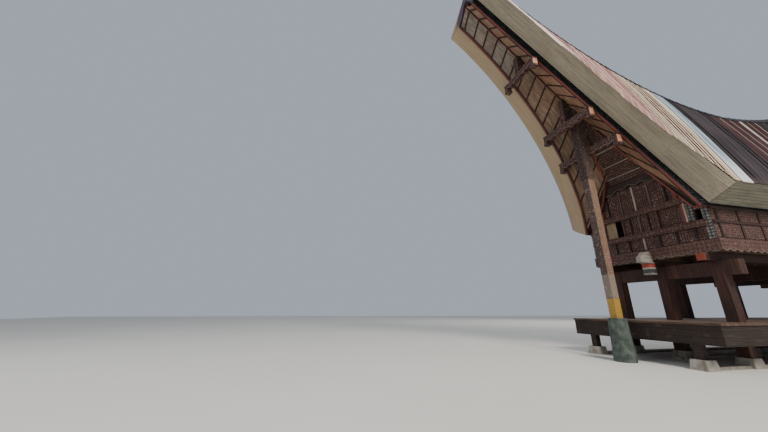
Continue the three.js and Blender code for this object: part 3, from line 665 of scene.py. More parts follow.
# %% [markdown]
# The sheets reach far out over the gable, and thin cream boards line them from below. The boards
# lap inwards and follow the whole sweep of the verge; along the eave the laps are coarser and
# greener. Each lap stands out a few millimetres more at its inner side.
# %% Laps of the roof's edge
VERGE_LAPS = 12
VERGE_LIFT = 0.007
STRONG_LAP = 2
VERGE_CLEAR = 0.04
EAVE_LAPS = 7
EAVE_LIFT = 0.012
LAP_RISE = 0.006
LAP_SPAN = (0.012, 0.995)
VERGE_END = 0.997
VERGE_POINTS = 180
EAVE_POINTS = 60


def lap_surface(upper, lower, laps, lift, strong=None, clear=0.0):
    """Lapped boards between two lines of points: every lap starts close in and ends lift further
    out, along the direction square to both lines; one strong lap ends twice as far out, and clear
    keeps the whole off the solid. Returns the grid and its coordinates."""
    across = lower - upper
    out = unit(np.cross(np.gradient(upper, axis=0), across))
    out *= -np.sign(out[:, 2:])
    share = np.clip(np.repeat(np.arange(laps + 1) / laps, 2)[1:-1], *LAP_SPAN)
    rise = np.tile([LAP_RISE, LAP_RISE + lift], laps)
    if strong is not None:
        rise[2 * strong + 1] += lift
    rise = rise[:, None] + np.asarray(clear) * np.sin(np.pi * share)[:, None]
    points = upper + share[:, None, None] * across + rise[..., None] * out
    width = share * np.linalg.norm(across, axis=1).mean()
    return points, np.stack(np.broadcast_arrays(arc(upper), width[:, None]), axis=-1)


def lap_finish(name, pale, dark, line, joint, lap):
    """Cream paint in long streaks, a dark line along the edge of each lap, and butt joints at a pitch of
    joint that start at a random place in each lap; the far side is painted warmer and lighter, as lit
    by light bounced from the ground."""
    look = Finish(name, 0.8)
    whole, length, width = look.along()
    fine = uneven(whole, 1.0, 4.0, (3.0, 60.0, 1))
    under_lap = 1.0 - step(calc("PINGPONG", width, lap / 2), 0.0, 0.012)
    start = any_number(calc("FLOOR", width / lap)) * joint
    butt = 1.0 - step(calc("PINGPONG", length + start, joint / 2), 0.0, 0.014)
    # the far side is painted warmer and lighter, as lit by light bounced from the ground
    far_side_bounce_light = calc("LESS_THAN", look.place()[1]["X"], 0.0)
    colour = over(ramp(uneven(whole, 1.0, 5.0, (0.8, 9.0, 1)), [(0.3, dark), (0.62, pale)]),
                  (step(fine, 0.52, 0.7) * 0.5, line), (under_lap * 0.75, line), (butt * 0.7, line),
                  (far_side_bounce_light * 0.5, "bb9d78"))
    return look.done(colour, fine, 0.3, 0.004)


verge_lap_finish = lap_finish("verge_laps", "a39781", "877c69", "5b5246", 0.9, 0.065)
eave_lap_finish = lap_finish("eave_laps", "8d8b78", "6d6c5e", "3f3c33", 0.8, 0.11)
t = np.linspace(0, VERGE_END, VERGE_POINTS)
points, uv = lap_surface(cubic(VERGE, t), cubic(FASCIA, t), VERGE_LAPS, VERGE_LIFT, STRONG_LAP,
                         VERGE_CLEAR * (1 - t) ** 2)
rear_right = grid_part(points, turned=True)
for end, y in zip(ENDS, (-1, 1)):
    for side, x in zip(SIDES, (1, -1)):
        laps = mirrored(rear_right, x, y)
        add_piece(f"{end}_{side}_verge_laps", laps, verge_lap_finish, uv)

upper, lower = (along_eave(line[0], np.linspace(-1, 1, EAVE_POINTS)) for line in (VERGE, FASCIA))
points, uv = lap_surface(upper, lower, EAVE_LAPS, EAVE_LIFT)
add_pair(SIDES, "eave_laps", grid_part(points, turned=True), eave_lap_finish, uv)

# %% [markdown]
# From the inner edge of the lining hangs a black board painted with rows of small dots, all round
# the roof; along the eave it lies flat. It is one closed profile carried along the edge, from the
# lining's edge to the trim, and it has its own length and width coordinates for the dots.
# %% Border boards
BORDER_THICK = 0.04
BORDER_PROUD = 0.002
EAVE_STATIONS = 24
VERGE_STATIONS = 72
DOT_CELL = (0.085, 0.075)
DOTS = [(0.0, "c9cdbd"), (0.3, "4f7358"), (0.5, "20241f"), (0.8, "9a8a5c")]


def whole_line(control):
    """A line of the right side from prow to prow: straight along the eave, then up both verges."""
    verge = cubic(control, np.linspace(0, 1, VERGE_STATIONS))
    half = np.concatenate([along_eave(control[0], np.linspace(0, 1, EAVE_STATIONS))[:-1], verge])
    return np.concatenate([(half * (1, -1, 1))[:0:-1], half])


def swept(loops, wide):
    """A closed body through (stations, corners, 3) loops, with its coordinates along and across.
    The first corner is repeated so that the coordinates don't jump back across a face, and the
    faces look outwards, by the sign of the body's volume."""
    stations, corners = loops.shape[:2]
    across = np.concatenate([[0], np.cumsum(wide)])
    uv = np.stack(np.broadcast_arrays(arc(loops[:, 0])[:, None], across), axis=-1)
    points, faces = grid_part(np.concatenate([loops, loops[:, :1]], axis=1))
    last = (stations - 1) * (corners + 1)
    faces += [list(range(corners))[::-1], list(range(last, last + corners))]
    volume = sum(np.dot(points[face[0]], np.cross(points[face[k]], points[face[k + 1]]))
                 for face in faces for k in range(1, len(face) - 1))
    return (points, faces if volume > 0 else [face[::-1] for face in faces]), uv


def dotted(name):
    """Black boards with rows of small white, green and ochre dots, one in each cell."""
    look = Finish(name, 0.85, specular=0.1)
    whole, length, width = look.along()
    a, b = (number / size for number, size in zip((length, width), DOT_CELL))
    off_a, off_b = (calc("FRACT", number) - 0.5 for number in (a, b))
    ring = calc("SQRT", off_a * off_a + off_b * off_b)
    cell = put("CombineXYZ", {"X": calc("FLOOR", a), "Y": calc("FLOOR", b)})
    pick = put("TexWhiteNoise", {"Vector": cell}, {"noise_dimensions": "2D"})
    ground = ramp(uneven(whole, 1.0, 5.0, (2.0, 14.0, 1)), [(0.3, "08090b"), (0.7, "1a1c20")])
    mask = (1.0 - step(ring, 0.08, 0.14)) * 0.5
    return look.done(over(ground, (mask, ramp(pick, DOTS, steps=True))))


fascia_line, inner_line = whole_line(FASCIA), whole_line(TRIM)
board_wide = np.linalg.norm(inner_line - fascia_line, axis=1).mean()
across = unit(inner_line - fascia_line)
inside = unit(np.cross(np.gradient(inner_line, axis=0), across))
border_loops = np.stack([fascia_line - BORDER_PROUD * inside, inner_line - BORDER_PROUD * inside,
                         inner_line + BORDER_THICK * inside,
                         fascia_line + BORDER_THICK * (inside + across)], axis=1)
dotted_finish = dotted("dotted_board")
right, uv = swept(border_loops, [board_wide, BORDER_THICK, board_wide, BORDER_THICK])
add_pair(SIDES, "border_face", right, dotted_finish, uv, stands_for="border_board")

# %% [markdown]
# A dark red moulding with one orange line closes the joint between that board and the mats. It is a
# profile with an arched lower face, carried along the trim line; its own directions at each place
# are the run of the line, the level way across it, and the one square to both.
# %% Trim mouldings
TRIM_WIDE = 0.12
TRIM_DEEP = 0.04
TRIM_LAP = 0.006
TRIM_LINE = (0.035, 0.065)
ARCH_POINTS = 7
SHOULDER = 0.35
BACK = -0.3


def old_paint(name, low, high, faded, stripe=None):
    """Uneven paint with faded patches; stripe is (from, to, colour) of a line along a moulding."""
    look = Finish(name, 0.6)
    where = look.place()[0]
    colour = ramp(uneven(where, 6.0, 5.0), [(0.3, low), (0.7, high)])
    if stripe:
        width = look.along()[2]
        inside = calc("GREATER_THAN", width, stripe[0]) * calc("LESS_THAN", width, stripe[1])
        colour = over(colour, (inside, stripe[2]))
    colour = over(colour, (step(uneven(where, 2.2, 4.0), 0.5, 0.7) * 0.6, faded))
    return look.done(colour, uneven(where, 60.0, 4.0), 0.25, 0.003)


orange_finish = old_paint("orange_paint", "52221a", "7c3b2a", "38180f")
rake_finish = old_paint("rake_paint", "5f2b20", "8f4834", "4a2018")
trim_finish = old_paint("trim_paint", "2c100d", "451b16", "1e0e0b", (*TRIM_LINE, "8a3d29"))
run = unit(np.gradient(inner_line, axis=0))
level = unit(np.array([-1.0, 0, 0]) + run[:, :1] * run)
line = inner_line + (TRIM_WIDE / 2 - TRIM_LAP) * level
down = unit(np.cross(np.gradient(line, axis=0), level))
down *= -np.sign(down[:, 2:])
turn = np.linspace(0, np.pi, ARCH_POINTS)
a = np.concatenate([-np.cos(turn), [1, -1]]) * TRIM_WIDE / 2
b = np.concatenate([SHOULDER + (1 - SHOULDER) * np.sin(turn), [BACK, BACK]]) * TRIM_DEEP
loops = line[:, None] + a[:, None] * level[:, None] + b[:, None] * down[:, None]
sides = np.diff(np.stack([a, b], axis=1), axis=0, append=[[a[0], b[0]]])
right, uv = swept(loops, np.linalg.norm(sides, axis=1))
add_pair(SIDES, "trim_moulding", right, trim_finish, uv)

# %% [markdown]
# Under the prow hang mats of split bamboo, nailed between dark battens that cross from the trim to
# the ridge beam every 40 cm; a thin cover strip hides where the two sides meet under the beam. Each
# mat sags a little between its battens: the sag is a half wave one way times a half wave the other,
# with a smaller ripple on it.
# %% Mats and battens under the prow
BEAM_FOOT = (8.82, 9.22)
BEAM_RISE = 0.967
WALL_Y = 6.9
GABLE_FOOT_Z = 6.5
GABLE_LEAN = 0.702
BATTEN_STEP = 0.4
BATTEN = (0.042, 0.045)
BATTEN_SPAN = (13.3, 7.3)
COVER = (0.04, 0.07)
COVER_SPAN = (13.42, 9.14)
COVER_DROP = 0.025
MAT_SPAN = (13.44, 7.22)
MAT_REACH = (0.02, 0.99)
LEAST_REACH = 0.05
MAT_HEAD_X = 0.02
MAT_HEAD_RISE = 0.01
MAT_LENGTH = 2
MAT_ROWS = 15
MAT_COLUMNS = 7
MAT_DROP = 0.02
SAG = 0.02
RIPPLE = 0.006
RIPPLE_UP = 13
RIPPLE_ALONG = 5
TONE_SHIFT = 3
PANEL_LENGTH = 7.0
STRIP_OF_BAMBOO = 0.03
batten_y = np.arange(*BATTEN_SPAN, -BATTEN_STEP)
panel_ends = np.concatenate([MAT_SPAN[:1], batten_y, MAT_SPAN[1:]])


def beam_low(y):
    """Height of the ridge beam's underside at y."""
    return BEAM_FOOT[1] + BEAM_RISE * (y - BEAM_FOOT[0])


def mat_points(y, s):
    """Points of the right half of the mats: from the trim (s = 0) to the beam's underside (s = 1),
    stopped short where the leaning gable stands in the way."""
    foot = on_line(trim_line, y) - (BORDER_THICK, 0, 0)
    head = np.stack([np.full_like(y, MAT_HEAD_X), y, beam_low(y) + MAT_HEAD_RISE], axis=-1)
    stop = GABLE_FOOT_Z + (y - WALL_Y) / GABLE_LEAN
    reach = np.clip((stop - foot[..., 2]) / (head[..., 2] - foot[..., 2]), LEAST_REACH, 1)
    s = (s * reach)[..., None]
    return (1 - s) * foot + s * head


def woven(name):
    """Twilled bamboo strips: two sets of slanting bands over and under, in mat colours that differ
    from panel to panel, with painted shade in the creases and a painted highlight on the folds, along
    the level lines of one noise."""
    look = Finish(name, 0.8)
    whole, length, width = look.along()
    where, axes = look.place()
    a, b = length / STRIP_OF_BAMBOO, width / STRIP_OF_BAMBOO
    weave = calc("MAXIMUM", calc("PINGPONG", a + b, 1.0), calc("PINGPONG", a - b, 1.0) * 0.9)
    panel = any_number(calc("FLOOR", length / PANEL_LENGTH))
    high = ramp(panel, [(0.0, "877c6f"), (0.4, "93877a"), (0.7, "857262"), (1.0, "978a7c")])
    wrinkle = uneven(whole, 1.0, 3.0, (5.0, 1.3, 1))
    # painted shade along the creases and a painted highlight along the folds of the wrinkles
    crease_shade, fold_highlight = (1.0 - step(calc("ABSOLUTE", wrinkle - at), 0.0, wide)
                    for at, wide in ((0.5, 0.07), (0.61, 0.05)))
    stain = step(uneven(where, 2.4, 6.0), 0.42, 0.7)
    colour = over(ramp(panel, [(0.0, "7c634f"), (1.0, "8c7058")]),
                  (step(axes["Z"], 10.4, 11.4), high),
                  (calc("GREATER_THAN", axes["X"], 0.0) * 0.55, "b4815c"),
                  (crease_shade * 0.5, "32241b"), (fold_highlight * 0.22, "c2b5a7"), (stain * 0.35, "5b4638"),
                  ((1.0 - weave) * 0.3, "4a382b"))
    return look.done(colour, wrinkle + weave * 0.1, 0.6, 0.03)


parts, uvs = [], []
panel_tone = dice.uniform(0, 1, (len(panel_ends) - 1, 2))
s, b = np.meshgrid(np.linspace(*MAT_REACH, MAT_ROWS), np.linspace(0, 1, MAT_COLUMNS), indexing="ij")
for index, (far_y, near_y) in enumerate(zip(panel_ends, panel_ends[1:])):
    for tone, side in zip(panel_tone[index], (1, -1)):
        ripple = RIPPLE * np.sin(RIPPLE_UP * s + RIPPLE_ALONG * b + index)
        sag = SAG * np.sin(np.pi * b) * np.sin(np.pi * s) + ripple
        points = mat_points(far_y + (near_y - far_y) * b, s)
        points[..., 2] -= MAT_DROP + sag
        parts.append(grid_part(points * (side, -1, 1), turned=side == 1))
        uv = [MAT_LENGTH * s + PANEL_LENGTH * index, BATTEN_STEP * b + TONE_SHIFT * tone]
        uvs.append(np.stack(uv, axis=-1).reshape(-1, 2))
add_pair(ENDS, "mats", joined(parts), woven("woven_mat"), np.concatenate(uvs), smooth=True)

feet, heads = (mat_points(batten_y, np.full_like(batten_y, s)) * (1, -1, 1) - (0, 0, BATTEN[1])
               for s in (0.0, MAT_REACH[1]))
square = np.stack([heads[:, 2] - feet[:, 2], np.zeros_like(batten_y), feet[:, 0] - heads[:, 0]], axis=1)
add_pair(ENDS, "battens", both_sides(bars(feet, heads, *BATTEN, square)), batten_timber)
cover = [(0, -y, beam_low(y) - COVER_DROP) for y in COVER_SPAN]
add_pair(ENDS, "cover_strip", bars(*cover, *COVER), red_timber)

# %% [markdown]
# A folded dark sheet caps the ridge in short lengths that lap towards the middle, so its outline is
# a row of small steps. Where the ridge ends, ribbed sheet closes the front of the prow; its ribs lie
# level, so the surface is pushed out by a cosine of the height.
# %% Ridge cap and prow sheets
CAP_LENGTH = 0.42
CAP_REACH = 0.29
CAP_FOLDS = ((CAP_REACH, 0.036), (CAP_REACH - 0.02, 0.048), (0.1, 0.036), (0.045, 0.04))
CAP_STEP = 0.02
CAP_STATIONS = 620
CAP_FADE = 0.6
CAP_EDGE = 0.01
CAP_SEAT = 0.004
FOLD_WIDE = 0.06
CROWN_RISE = 0.006
CROWN_STEP = 0.014
PROW_LOW = np.array([[0, 13.99], [0.55, 13.22], [0.65, 13.45], [1.34, 13.42]])
PROW_HALF, PROW_CORNER_Z = PROW_LOW[-1]
PROW_TOP_Z = 15.86
PROW_LEAN = -0.55 / 2.98
PROW_FACE = (13.55, 12.92)
PROW_BASE = 0.012
PROW_ROWS = 190
PROW_COLUMNS = 49

cap_y = np.linspace(-RIDGE_END, RIDGE_END, CAP_STATIONS)
ridge_pts = on_line(ridge_line, cap_y)
fall = unit(on_line(verge_line, cap_y * PROW_Y / RIDGE_END) - ridge_pts)
out = unit(np.stack([-fall[:, 2], 0 * cap_y, fall[:, 0]], axis=1))
lap = np.abs(cap_y) / CAP_LENGTH % 1
lap = (lap * np.clip((RIDGE_END - np.abs(cap_y)) / CAP_FADE, 0, 1))[:, None]
flank = [ridge_pts + reach * fall + (rise + CAP_STEP * lap) * out for reach, rise in CAP_FOLDS]
crown = ridge_pts + np.array([0, 0, 1]) * (CROWN_RISE + CROWN_STEP * lap)
below = ridge_pts + CAP_REACH * fall + CAP_EDGE * out
flip = np.array([-1, 1, 1])
loops = np.stack([below, *flank, crown, *[part * flip for part in flank[::-1]], below * flip,
                  ridge_pts - (0, 0, CAP_SEAT)], axis=1)
cap, uv = swept(loops, np.full(loops.shape[1], FOLD_WIDE))
look = Finish("cap_sheet", 0.5, 0.35)
where = look.place()[0]
colour = ramp(uneven(where, 3.0, 6.0), [(0.3, "1f1b1e"), (0.55, "2f2a2d"), (0.75, "4a3f40")])
cap_finish = look.done(colour, uneven(where, 14.0, 4.0), 0.3, 0.008)
add_piece("ridge_folds", cap, cap_finish, uv, replaces=["ridge_cap"])

a = np.linspace(-PROW_HALF, PROW_HALF, PROW_COLUMNS)
low = np.interp(np.abs(a), *PROW_LOW.T)
high = PROW_TOP_Z - (PROW_TOP_Z - PROW_CORNER_Z) * np.abs(a) / PROW_HALF
z = low + (high - low) * np.linspace(0, 1, PROW_ROWS)[:, None]
face_y = PROW_FACE[0] + PROW_LEAN * (z - PROW_FACE[1])
y = face_y + PROW_BASE + WAVE_DEPTH * np.cos(2 * np.pi * z / WAVE)
front = grid_part(np.stack([np.broadcast_to(a, z.shape), -y, z], axis=-1))
look = Finish("ribbed_sheet", 0.5, 0.3)
where = look.place()[0]
colour = ramp(uneven(where, 2.0, 5.0, (1, 1, 4)), [(0.3, "3d3440"), (0.7, "6a5c6e")])
ribbed_finish = look.done(colour, uneven(where, 30.0), 0.2, 0.003)
add_pair(ENDS, "prow_sheet", front, ribbed_finish, smooth=True)

# %% [markdown]
# Three carved beams tie the two verges together under the prow. Their end blocks flare at the foot
# and close with a plate painted peach, a painted strip follows the scallops below, and two boards
# stand in front of each king post. The tie beams themselves come from the frame. A row of TIES is
# distance, top, half a width and depth; a corner of a block's foot is its side, how far it stands
# past the block, and its height.
# %% Dressing of the tie beams
TIES = [(11.3, 10.76, 0.86, 0.23), (9.47, 8.70, 1.13, 0.26), (8.72, 7.59, 1.30, 0.28)]
KING_ABOVE = 8.0
KING_BOARD = (0.062, 0.04)
KING_X = 0.078
KING_FOOT, KING_HEAD = 0.02, 0.03
TIE_FACE = 0.1
BLOCK = 0.17
BLOCK_DROP = 0.13
FOOT_CORNERS = [(-1, 0.018, 0.03), (-1, 0.018, -0.012), (1, 0.018, -0.012), (1, 0.018, 0.03),
                (1, 0.003, 0.07), (-1, 0.003, 0.07)]
FOOT_PROUD = 0.015
PLATE = (0.19, 0.016)
PLATE_OUT = 0.008
PLATE_FOOT, PLATE_HEAD = 0.075, 0.055
BAND_OUT = 0.015
BAND_LOW, BAND_HIGH = 0.05, 0.012
PROUD = 0.012
INLAID = 0.004
STRIP_WIDE = 0.035
STRIP_LOW, STRIP_HIGH = 0.03, 0.005
SCALLOP = 0.305
SCALLOP_DEEP = 0.06
SCALLOP_POINTS = 8


def scallop_line(half, z):
    """Points along a row of hanging half circles drawn as sine arches, from -half to half."""
    count = max(1, round(2 * half / SCALLOP))
    x = np.linspace(-half, half, count * SCALLOP_POINTS + 1)
    arches = np.abs(np.sin(np.pi * count * (x + half) / (2 * half)))
    return np.stack([x, z - SCALLOP_DEEP * arches], axis=1)


def strip(line, wide):
    """An outline that follows a line with its own width above it, run against the clock."""
    return np.concatenate([line, (line + (0, wide))[::-1]])


feet, plates, strips, posts = [], [], [], []
for y, top, half, deep in TIES:
    low, front_y = top - deep - BLOCK_DROP, y + TIE_FACE
    foot = [(half - BLOCK / 2 + side * (BLOCK / 2 + out), low + up) for side, out, up in FOOT_CORNERS]
    feet.append(both_sides(board(foot, y - TIE_FACE - FOOT_PROUD, front_y + FOOT_PROUD)))
    plate = [(half + PLATE_OUT, -y, z) for z in (low + PLATE_FOOT, top - PLATE_HEAD)]
    plates.append(both_sides(bars(*plate, *PLATE, (1, 0, 0))))
    band = rectangle(half - BLOCK - BAND_OUT, half + BAND_OUT, top - BAND_LOW, top + BAND_HIGH)
    posts.append(both_sides(board(band, y - TIE_FACE - PROUD, front_y + PROUD)))
    for outline in (strip(scallop_line(half - BLOCK, top - deep + SCALLOP_DEEP), STRIP_WIDE),
                    rectangle(BLOCK - half, half - BLOCK, top - STRIP_LOW, top - STRIP_HIGH)):
        strips.append(board(outline, front_y - INLAID, front_y + PROUD))
    if top > KING_ABOVE:
        crown = beam_low(y - TIE_FACE) - KING_HEAD
        king = [(KING_X, -(front_y + PROUD), z) for z in (top + KING_FOOT, crown)]
        posts.append(both_sides(bars(*king, *KING_BOARD, (0, 1, 0))))
for name, parts, look in (("tie_feet", feet, carved_tie), ("tie_plates", plates, plate_finish),
                          ("tie_scallops", strips, strip_finish), ("king_boards", posts, carved_tie)):
    add_pair(ENDS, name, joined(parts), look)

# %% [markdown]
# The end wall is a frame of posts and rails with carved boards between them: a low row of boards, a
# rail, the row with the windows, a second rail, and a tall row under the gable. All stand proud of
# the wall by different amounts, so that each batten throws its own shadow. Each row of the table is
# distances from the middle, half a width, foot, head and how far it stands proud.
# %% Front wall
RAILS = [(4.16, 4.35, 2.0, 0.075), (5.03, 5.22, 1.86, 0.085)]
RAIL_EDGE = (0.028, 0.024)
BOARD_PROUD = 0.016
LOW_ROW, WINDOW_ROW, HIGH_ROW = (3.715, 4.16), (4.35, 5.03), (5.22, 6.2)
WALL_PIECES = {
    "dark_battens": (dark_timber, ((0.54, 1.08, 1.62), 0.026, *LOW_ROW, 0.045),
                     ((1.08,), 0.028, *HIGH_ROW, 0.05), ((0.33,), 0.024, *WINDOW_ROW, 0.045)),
    "pale_battens": (pale_timber, ((0.0,), 0.026, *LOW_ROW, 0.045), ((0.0,), 0.028, *HIGH_ROW, 0.05)),
    "dim_battens": (dim_timber, ((0.54,), 0.028, *HIGH_ROW, 0.05), ((0.0,), 0.024, *WINDOW_ROW, 0.045)),
    "wall_boards": (carved_front, ((0.27, 0.81, 1.35), 0.22, 3.73, 4.145, BOARD_PROUD),
                    ((0.27, 0.81), 0.215, 5.24, 6.16, BOARD_PROUD),
                    ((0.165,), 0.12, 4.37, 5.01, BOARD_PROUD), ((0.465,), 0.09, 4.37, 5.01, BOARD_PROUD)),
    "window_frames": (carved_beam, ((0.625, 1.415), 0.034, *WINDOW_ROW, 0.055)),
    "window_jambs": (orange_finish, ((1.45,), 0.026, *WINDOW_ROW, 0.075)),
    "jamb_faces": (jamb_finish, ((1.502,), 0.026, *WINDOW_ROW, 0.068)),
    "grey_panels": (carved_light, ((1.62,), 0.09, 4.36, 5.02, 0.03)),
    "corner_boards": (carved_light, ((2.005,), 0.09, 3.72, 5.12, 0.05), ((1.82,), 0.088, 4.74, 5.02, 0.03)),
    "rake_brackets": (orange_finish, ((1.36,), 0.055, 5.23, 5.56, 0.09)),
}


def planks(places, half, foot, head, proud):
    """Upright boards in front of the end wall, at each distance on both sides of its middle."""
    centres = sorted({side * place for place in places for side in (-1, 1)})
    starts, ends = ([(x, -(WALL_Y + proud / 2), z) for x in centres] for z in (foot, head))
    return bars(starts, ends, 2 * half, proud, (0, -1, 0))


rails = []
for low, high, half, proud in RAILS:
    rails.append(board(rectangle(-half, half, low, high), WALL_Y, WALL_Y + proud))
    face_y = -(WALL_Y + proud)
    rails += [bars([-half, face_y, z], [half, face_y, z], *RAIL_EDGE) for z in (low, high)]
add_pair(ENDS, "wall_rails", joined(rails), carved_beam)
for name, (look, *rows) in WALL_PIECES.items():
    add_pair(ENDS, name, joined([planks(*row) for row in rows]), look)

# %% [markdown]
# Above the wall the gable leans out under the prow. A wavy board covers its foot, thin pale ledges
# step up it, and a dull red moulding with a dark board beside it runs up each slope; the dark board
# is wide enough to stand also for painted shade beside the moulding. Places on the leaning gable
# are given by height and distance out from it.
# %% Gable
WAVY_HALF = 0.98
WAVY_PITCH = 0.49
WAVY_POINTS = 57
WAVY_Z = 6.26
WAVY_DEEP = 0.04
WAVY_BOW = 0.18
WAVY_PROUD = 0.11
WAVY_RIM = 0.03
WAVY_RIM_SPAN = (0.1, 0.12)
LEDGE_HALF = np.array([0.71, 0.56, 0.4])
LEDGE_Z = np.array([6.76, 7.18, 7.72])
LEDGE = (0.06, 0.022)
LEDGE_OUT = 0.03
RAKE = np.array([[0.24, 8.35], [0.40, 7.84], [0.56, 7.24], [0.71, 6.76], [1.16, 5.9], [1.77, 4.86],
                 [1.9, 4.74]])
RAKE_OUT = 0.15
RAKE_SIZE = (0.055, 0.06)
RAKE_FOOT = (0.07, 0, 0.03)
RAKE_BOARD_OUT = 0.115
# the dark board is partly a real plank and partly painted shade beside the moulding, hence its width
RAKE_BOARD_SIZE = (0.18, 0.05)
RAKE_BOARD_SHIFT = (0.11, 0.04)


def on_gable(x, out, z):
    """Points out in front of the leaning gable, or of the wall below its foot."""
    return on_wall(x, WALL_Y + np.maximum(0, GABLE_LEAN * (z - GABLE_FOOT_Z)) + out, z)


x = np.linspace(-WAVY_HALF, WAVY_HALF, WAVY_POINTS)
wavy_z = WAVY_Z + WAVY_DEEP * np.cos(2 * np.pi * x / WAVY_PITCH) - WAVY_BOW * x ** 2
wavy_low = np.stack([x, wavy_z], axis=1)
wavy_top = np.stack([x[::-1], np.full_like(x, GABLE_FOOT_Z)], axis=1)
wavy = board(np.concatenate([wavy_low, wavy_top]), 0.0, WAVY_PROUD, on_gable)
rim = board(strip(wavy_low, WAVY_RIM), *WAVY_RIM_SPAN, on_gable)
ledges = bars(*[on_gable(side * LEDGE_HALF, LEDGE_OUT, LEDGE_Z) for side in (-1, 1)], *LEDGE)
line = on_gable(RAKE[:, 0], RAKE_OUT, RAKE[:, 1])
rakes = joined([bars(line[:-1], line[1:], *RAKE_SIZE, (0, -1, 0)),
                bars(line[-1], line[-1] + RAKE_FOOT, *RAKE_SIZE, (0, -1, 0))])
line = on_gable(RAKE[:, 0] + RAKE_BOARD_SHIFT[0], RAKE_BOARD_OUT, RAKE[:, 1] + RAKE_BOARD_SHIFT[1])
# dark boards beside the mouldings, wide enough to stand also for painted shade
rake_boards_and_shade = bars(line[:-2], line[1:-1], *RAKE_BOARD_SIZE, (0, -1, 0))
for name, part, look in (("wavy_board", wavy, wavy_timber),
                         ("wavy_rim", rim, dim_timber),
                         ("gable_ledges", ledges, pale_timber),
                         ("rake_mouldings", both_sides(rakes), rake_finish),
                         ("rake_boards_and_shade", both_sides(rake_boards_and_shade), dark_timber)):
    add_pair(ENDS, name, part, look)

# %% [markdown]
# The side walls have no window in sight: carved boards between upright battens, with one rail half
# way up and one along the top. The scallops that hang below the floor all round have a pale painted
# rim. A batten is foot, head, width and how far it stands proud.
# %% Side walls and scallops
WALL_X = 2.1
BATTEN_PLACES = np.linspace(-6.66, 6.66, 15)
BATTEN_OUT = 0.015
SIDE_BATTEN = (3.715, 4.72, 0.075, 0.05)
BOARD_OUT = 0.006
BOARD_GAP = 0.12
BOARD_ROWS = ((3.74, 4.2), (4.3, 4.68))
RAIL_Z = (4.25, 4.71)
RAIL_OUT = 0.02
SIDE_RAIL = (0.055, 0.075)
SCALLOPED_HALF = (2.15, 6.95)
SCALLOP_TOP = 3.372
RIM = 0.022
RIM_SPAN = (0.046, 0.058)


def uprights(out, places, foot, head, width, proud):
    """Upright timbers before the right-hand wall."""
    starts, ends = ([(WALL_X + out, y, z) for y in places] for z in (foot, head))
    return bars(starts, ends, width, proud, (1, 0, 0))


def on_side(y, out, z):
    """Points out in front of the right-hand wall."""
    return np.stack([WALL_X + out, y, z], axis=1)


middles = (BATTEN_PLACES[1:] + BATTEN_PLACES[:-1]) / 2
board_width = BATTEN_PLACES[1] - BATTEN_PLACES[0] - BOARD_GAP
rail_x = WALL_X + RAIL_OUT
battens = [uprights(BATTEN_OUT, BATTEN_PLACES, *SIDE_BATTEN)]
battens += [bars([rail_x, -WALL_Y, z], [rail_x, WALL_Y, z], *SIDE_RAIL) for z in RAIL_Z]
boards = [uprights(BOARD_OUT, middles, foot, head, board_width, BOARD_PROUD) for foot, head in BOARD_ROWS]
add_pair(SIDES, "wall_battens", joined(battens), beam_timber_y)
add_pair(SIDES, "wall_boards", joined(boards), carved_side)
front, side = (strip(scallop_line(half, SCALLOP_TOP), RIM) for half in SCALLOPED_HALF)
front = board(front, *[WALL_Y + out for out in RIM_SPAN])
add_pair(ENDS, "scallop_rim", front, rim_finish)
add_pair(SIDES, "scallop_rim", board(side, *RIM_SPAN, on_side), rim_finish)

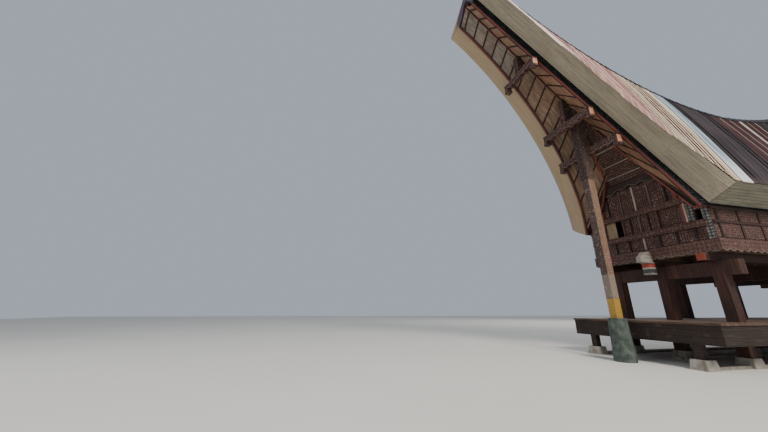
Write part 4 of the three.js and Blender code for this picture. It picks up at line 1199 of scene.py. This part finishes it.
# %% [markdown]
# Every solid of the frame gets its own finish. The tall post has bands of its own: yellow at the
# foot, a plain grey stretch, then brown carving. The carving is left pale only on the sunlit side, as
# painted sunlight, and painted shade darkens it on the other sides and above the height where the
# roof shades it.
# %% Finishes for the frame
# painted shade: the carving is darkened on every side but the sunlit one, and above the height where the
# roof shades it
POST_BANDS_AND_SHADE = [("X", -0.2, 0.118, "37252a", 0.78), ("Z", 1.96, 2.75, "8c8072", 0.65),
              ("Z", 1.3, 1.96, "b08a2c", 0.85), ("Z", 6.3, 9.6, "2a1713", 0.8)]
POST_FIGURE = [(0.0, "d9c8b4"), (0.1, "523628"), (0.2, "b0937d"), (0.3, "38211a"), (0.38, "c4a993"),
               (0.46, "50342a")]
HEAD_ZONES = [("Z", 2.78, 2.84, "86807a", 0.8), ("Z", 2.84, 3.0, "262c36", 0.9),
              ("Z", 3.0, 3.04, "b5afa5", 0.9), ("Z", 3.04, 3.2, "a63324", 0.9)]
HEAD_FIGURE = [(0.0, "4b4640"), (0.08, "b3aca0"), (0.26, "6d665d"), (0.32, "b9b2a6"), (0.45, "5d574f")]


def masonry(name, dark, light, stain, scale):
    """Rough cast surface: coarse and fine noise in colour and height, with stains that run down."""
    look = Finish(name, 0.92)
    where = look.place()[0]
    coarse = uneven(where, scale, 6.0)
    stains = step(uneven(where, 6.0, 5.0, (1, 1, 0.12)), 0.5, 0.75) * 0.6
    colour = over(ramp(coarse, [(0.3, dark), (0.7, light)]), (stains, stain))
    return look.done(colour, coarse + uneven(where, scale * 9, 4.0) * 0.4, 0.7, 0.03)


LOOKS = {
    "footing": masonry("pad_concrete", "7d776d", "a8a196", "5a544b", 4.0),
    "pedestal": masonry("pedestal_stone", "2d352f", "59625a", "1f2621", 5.0),
    "tulak_somba": carved("tulak_paint", "Y", 0.1, "765742", 0.3, POST_FIGURE, 0.75, POST_BANDS_AND_SHADE,
                          "cdbba8", 0.3),
    "buffalo_head": carved("head_paint", "X", 0.13, "958c80", 0.4, HEAD_FIGURE, 0.75, HEAD_ZONES),
    "roof_slope": lap_finish("roof_underside", "8d8167", "6d634e", "4a4233", 1.5, 0.07),
    "post_row": post_timber, "platform_skirt": skirt_timber, "platform_deck": deck_timber,
    "floor_beams": floor_beam_timber, "house_floor": deck_timber, "lambrequin": carved_beam,
    "right_wall": carved_side, "left_wall": carved_side, "front_wall": carved_front,
    "rear_wall": carved_front, "gable": carved_gable, "half_shutter": shutter_boards,
    "closed_shutter": carved_front, "soffit": batten_timber, "ridge_beam": red_timber,
    "prow_face": ribbed_finish, "tie_beam": carved_tie, "border_board": dotted_finish,
    "ridge_cap": cap_finish,
}
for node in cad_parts:
    for slot in bpy.data.objects[node].material_slots:
        slot.link = "OBJECT"
        slot.material = next(look for key, look in LOOKS.items() if key in node)
print("finishes on", len(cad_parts), "nodes")
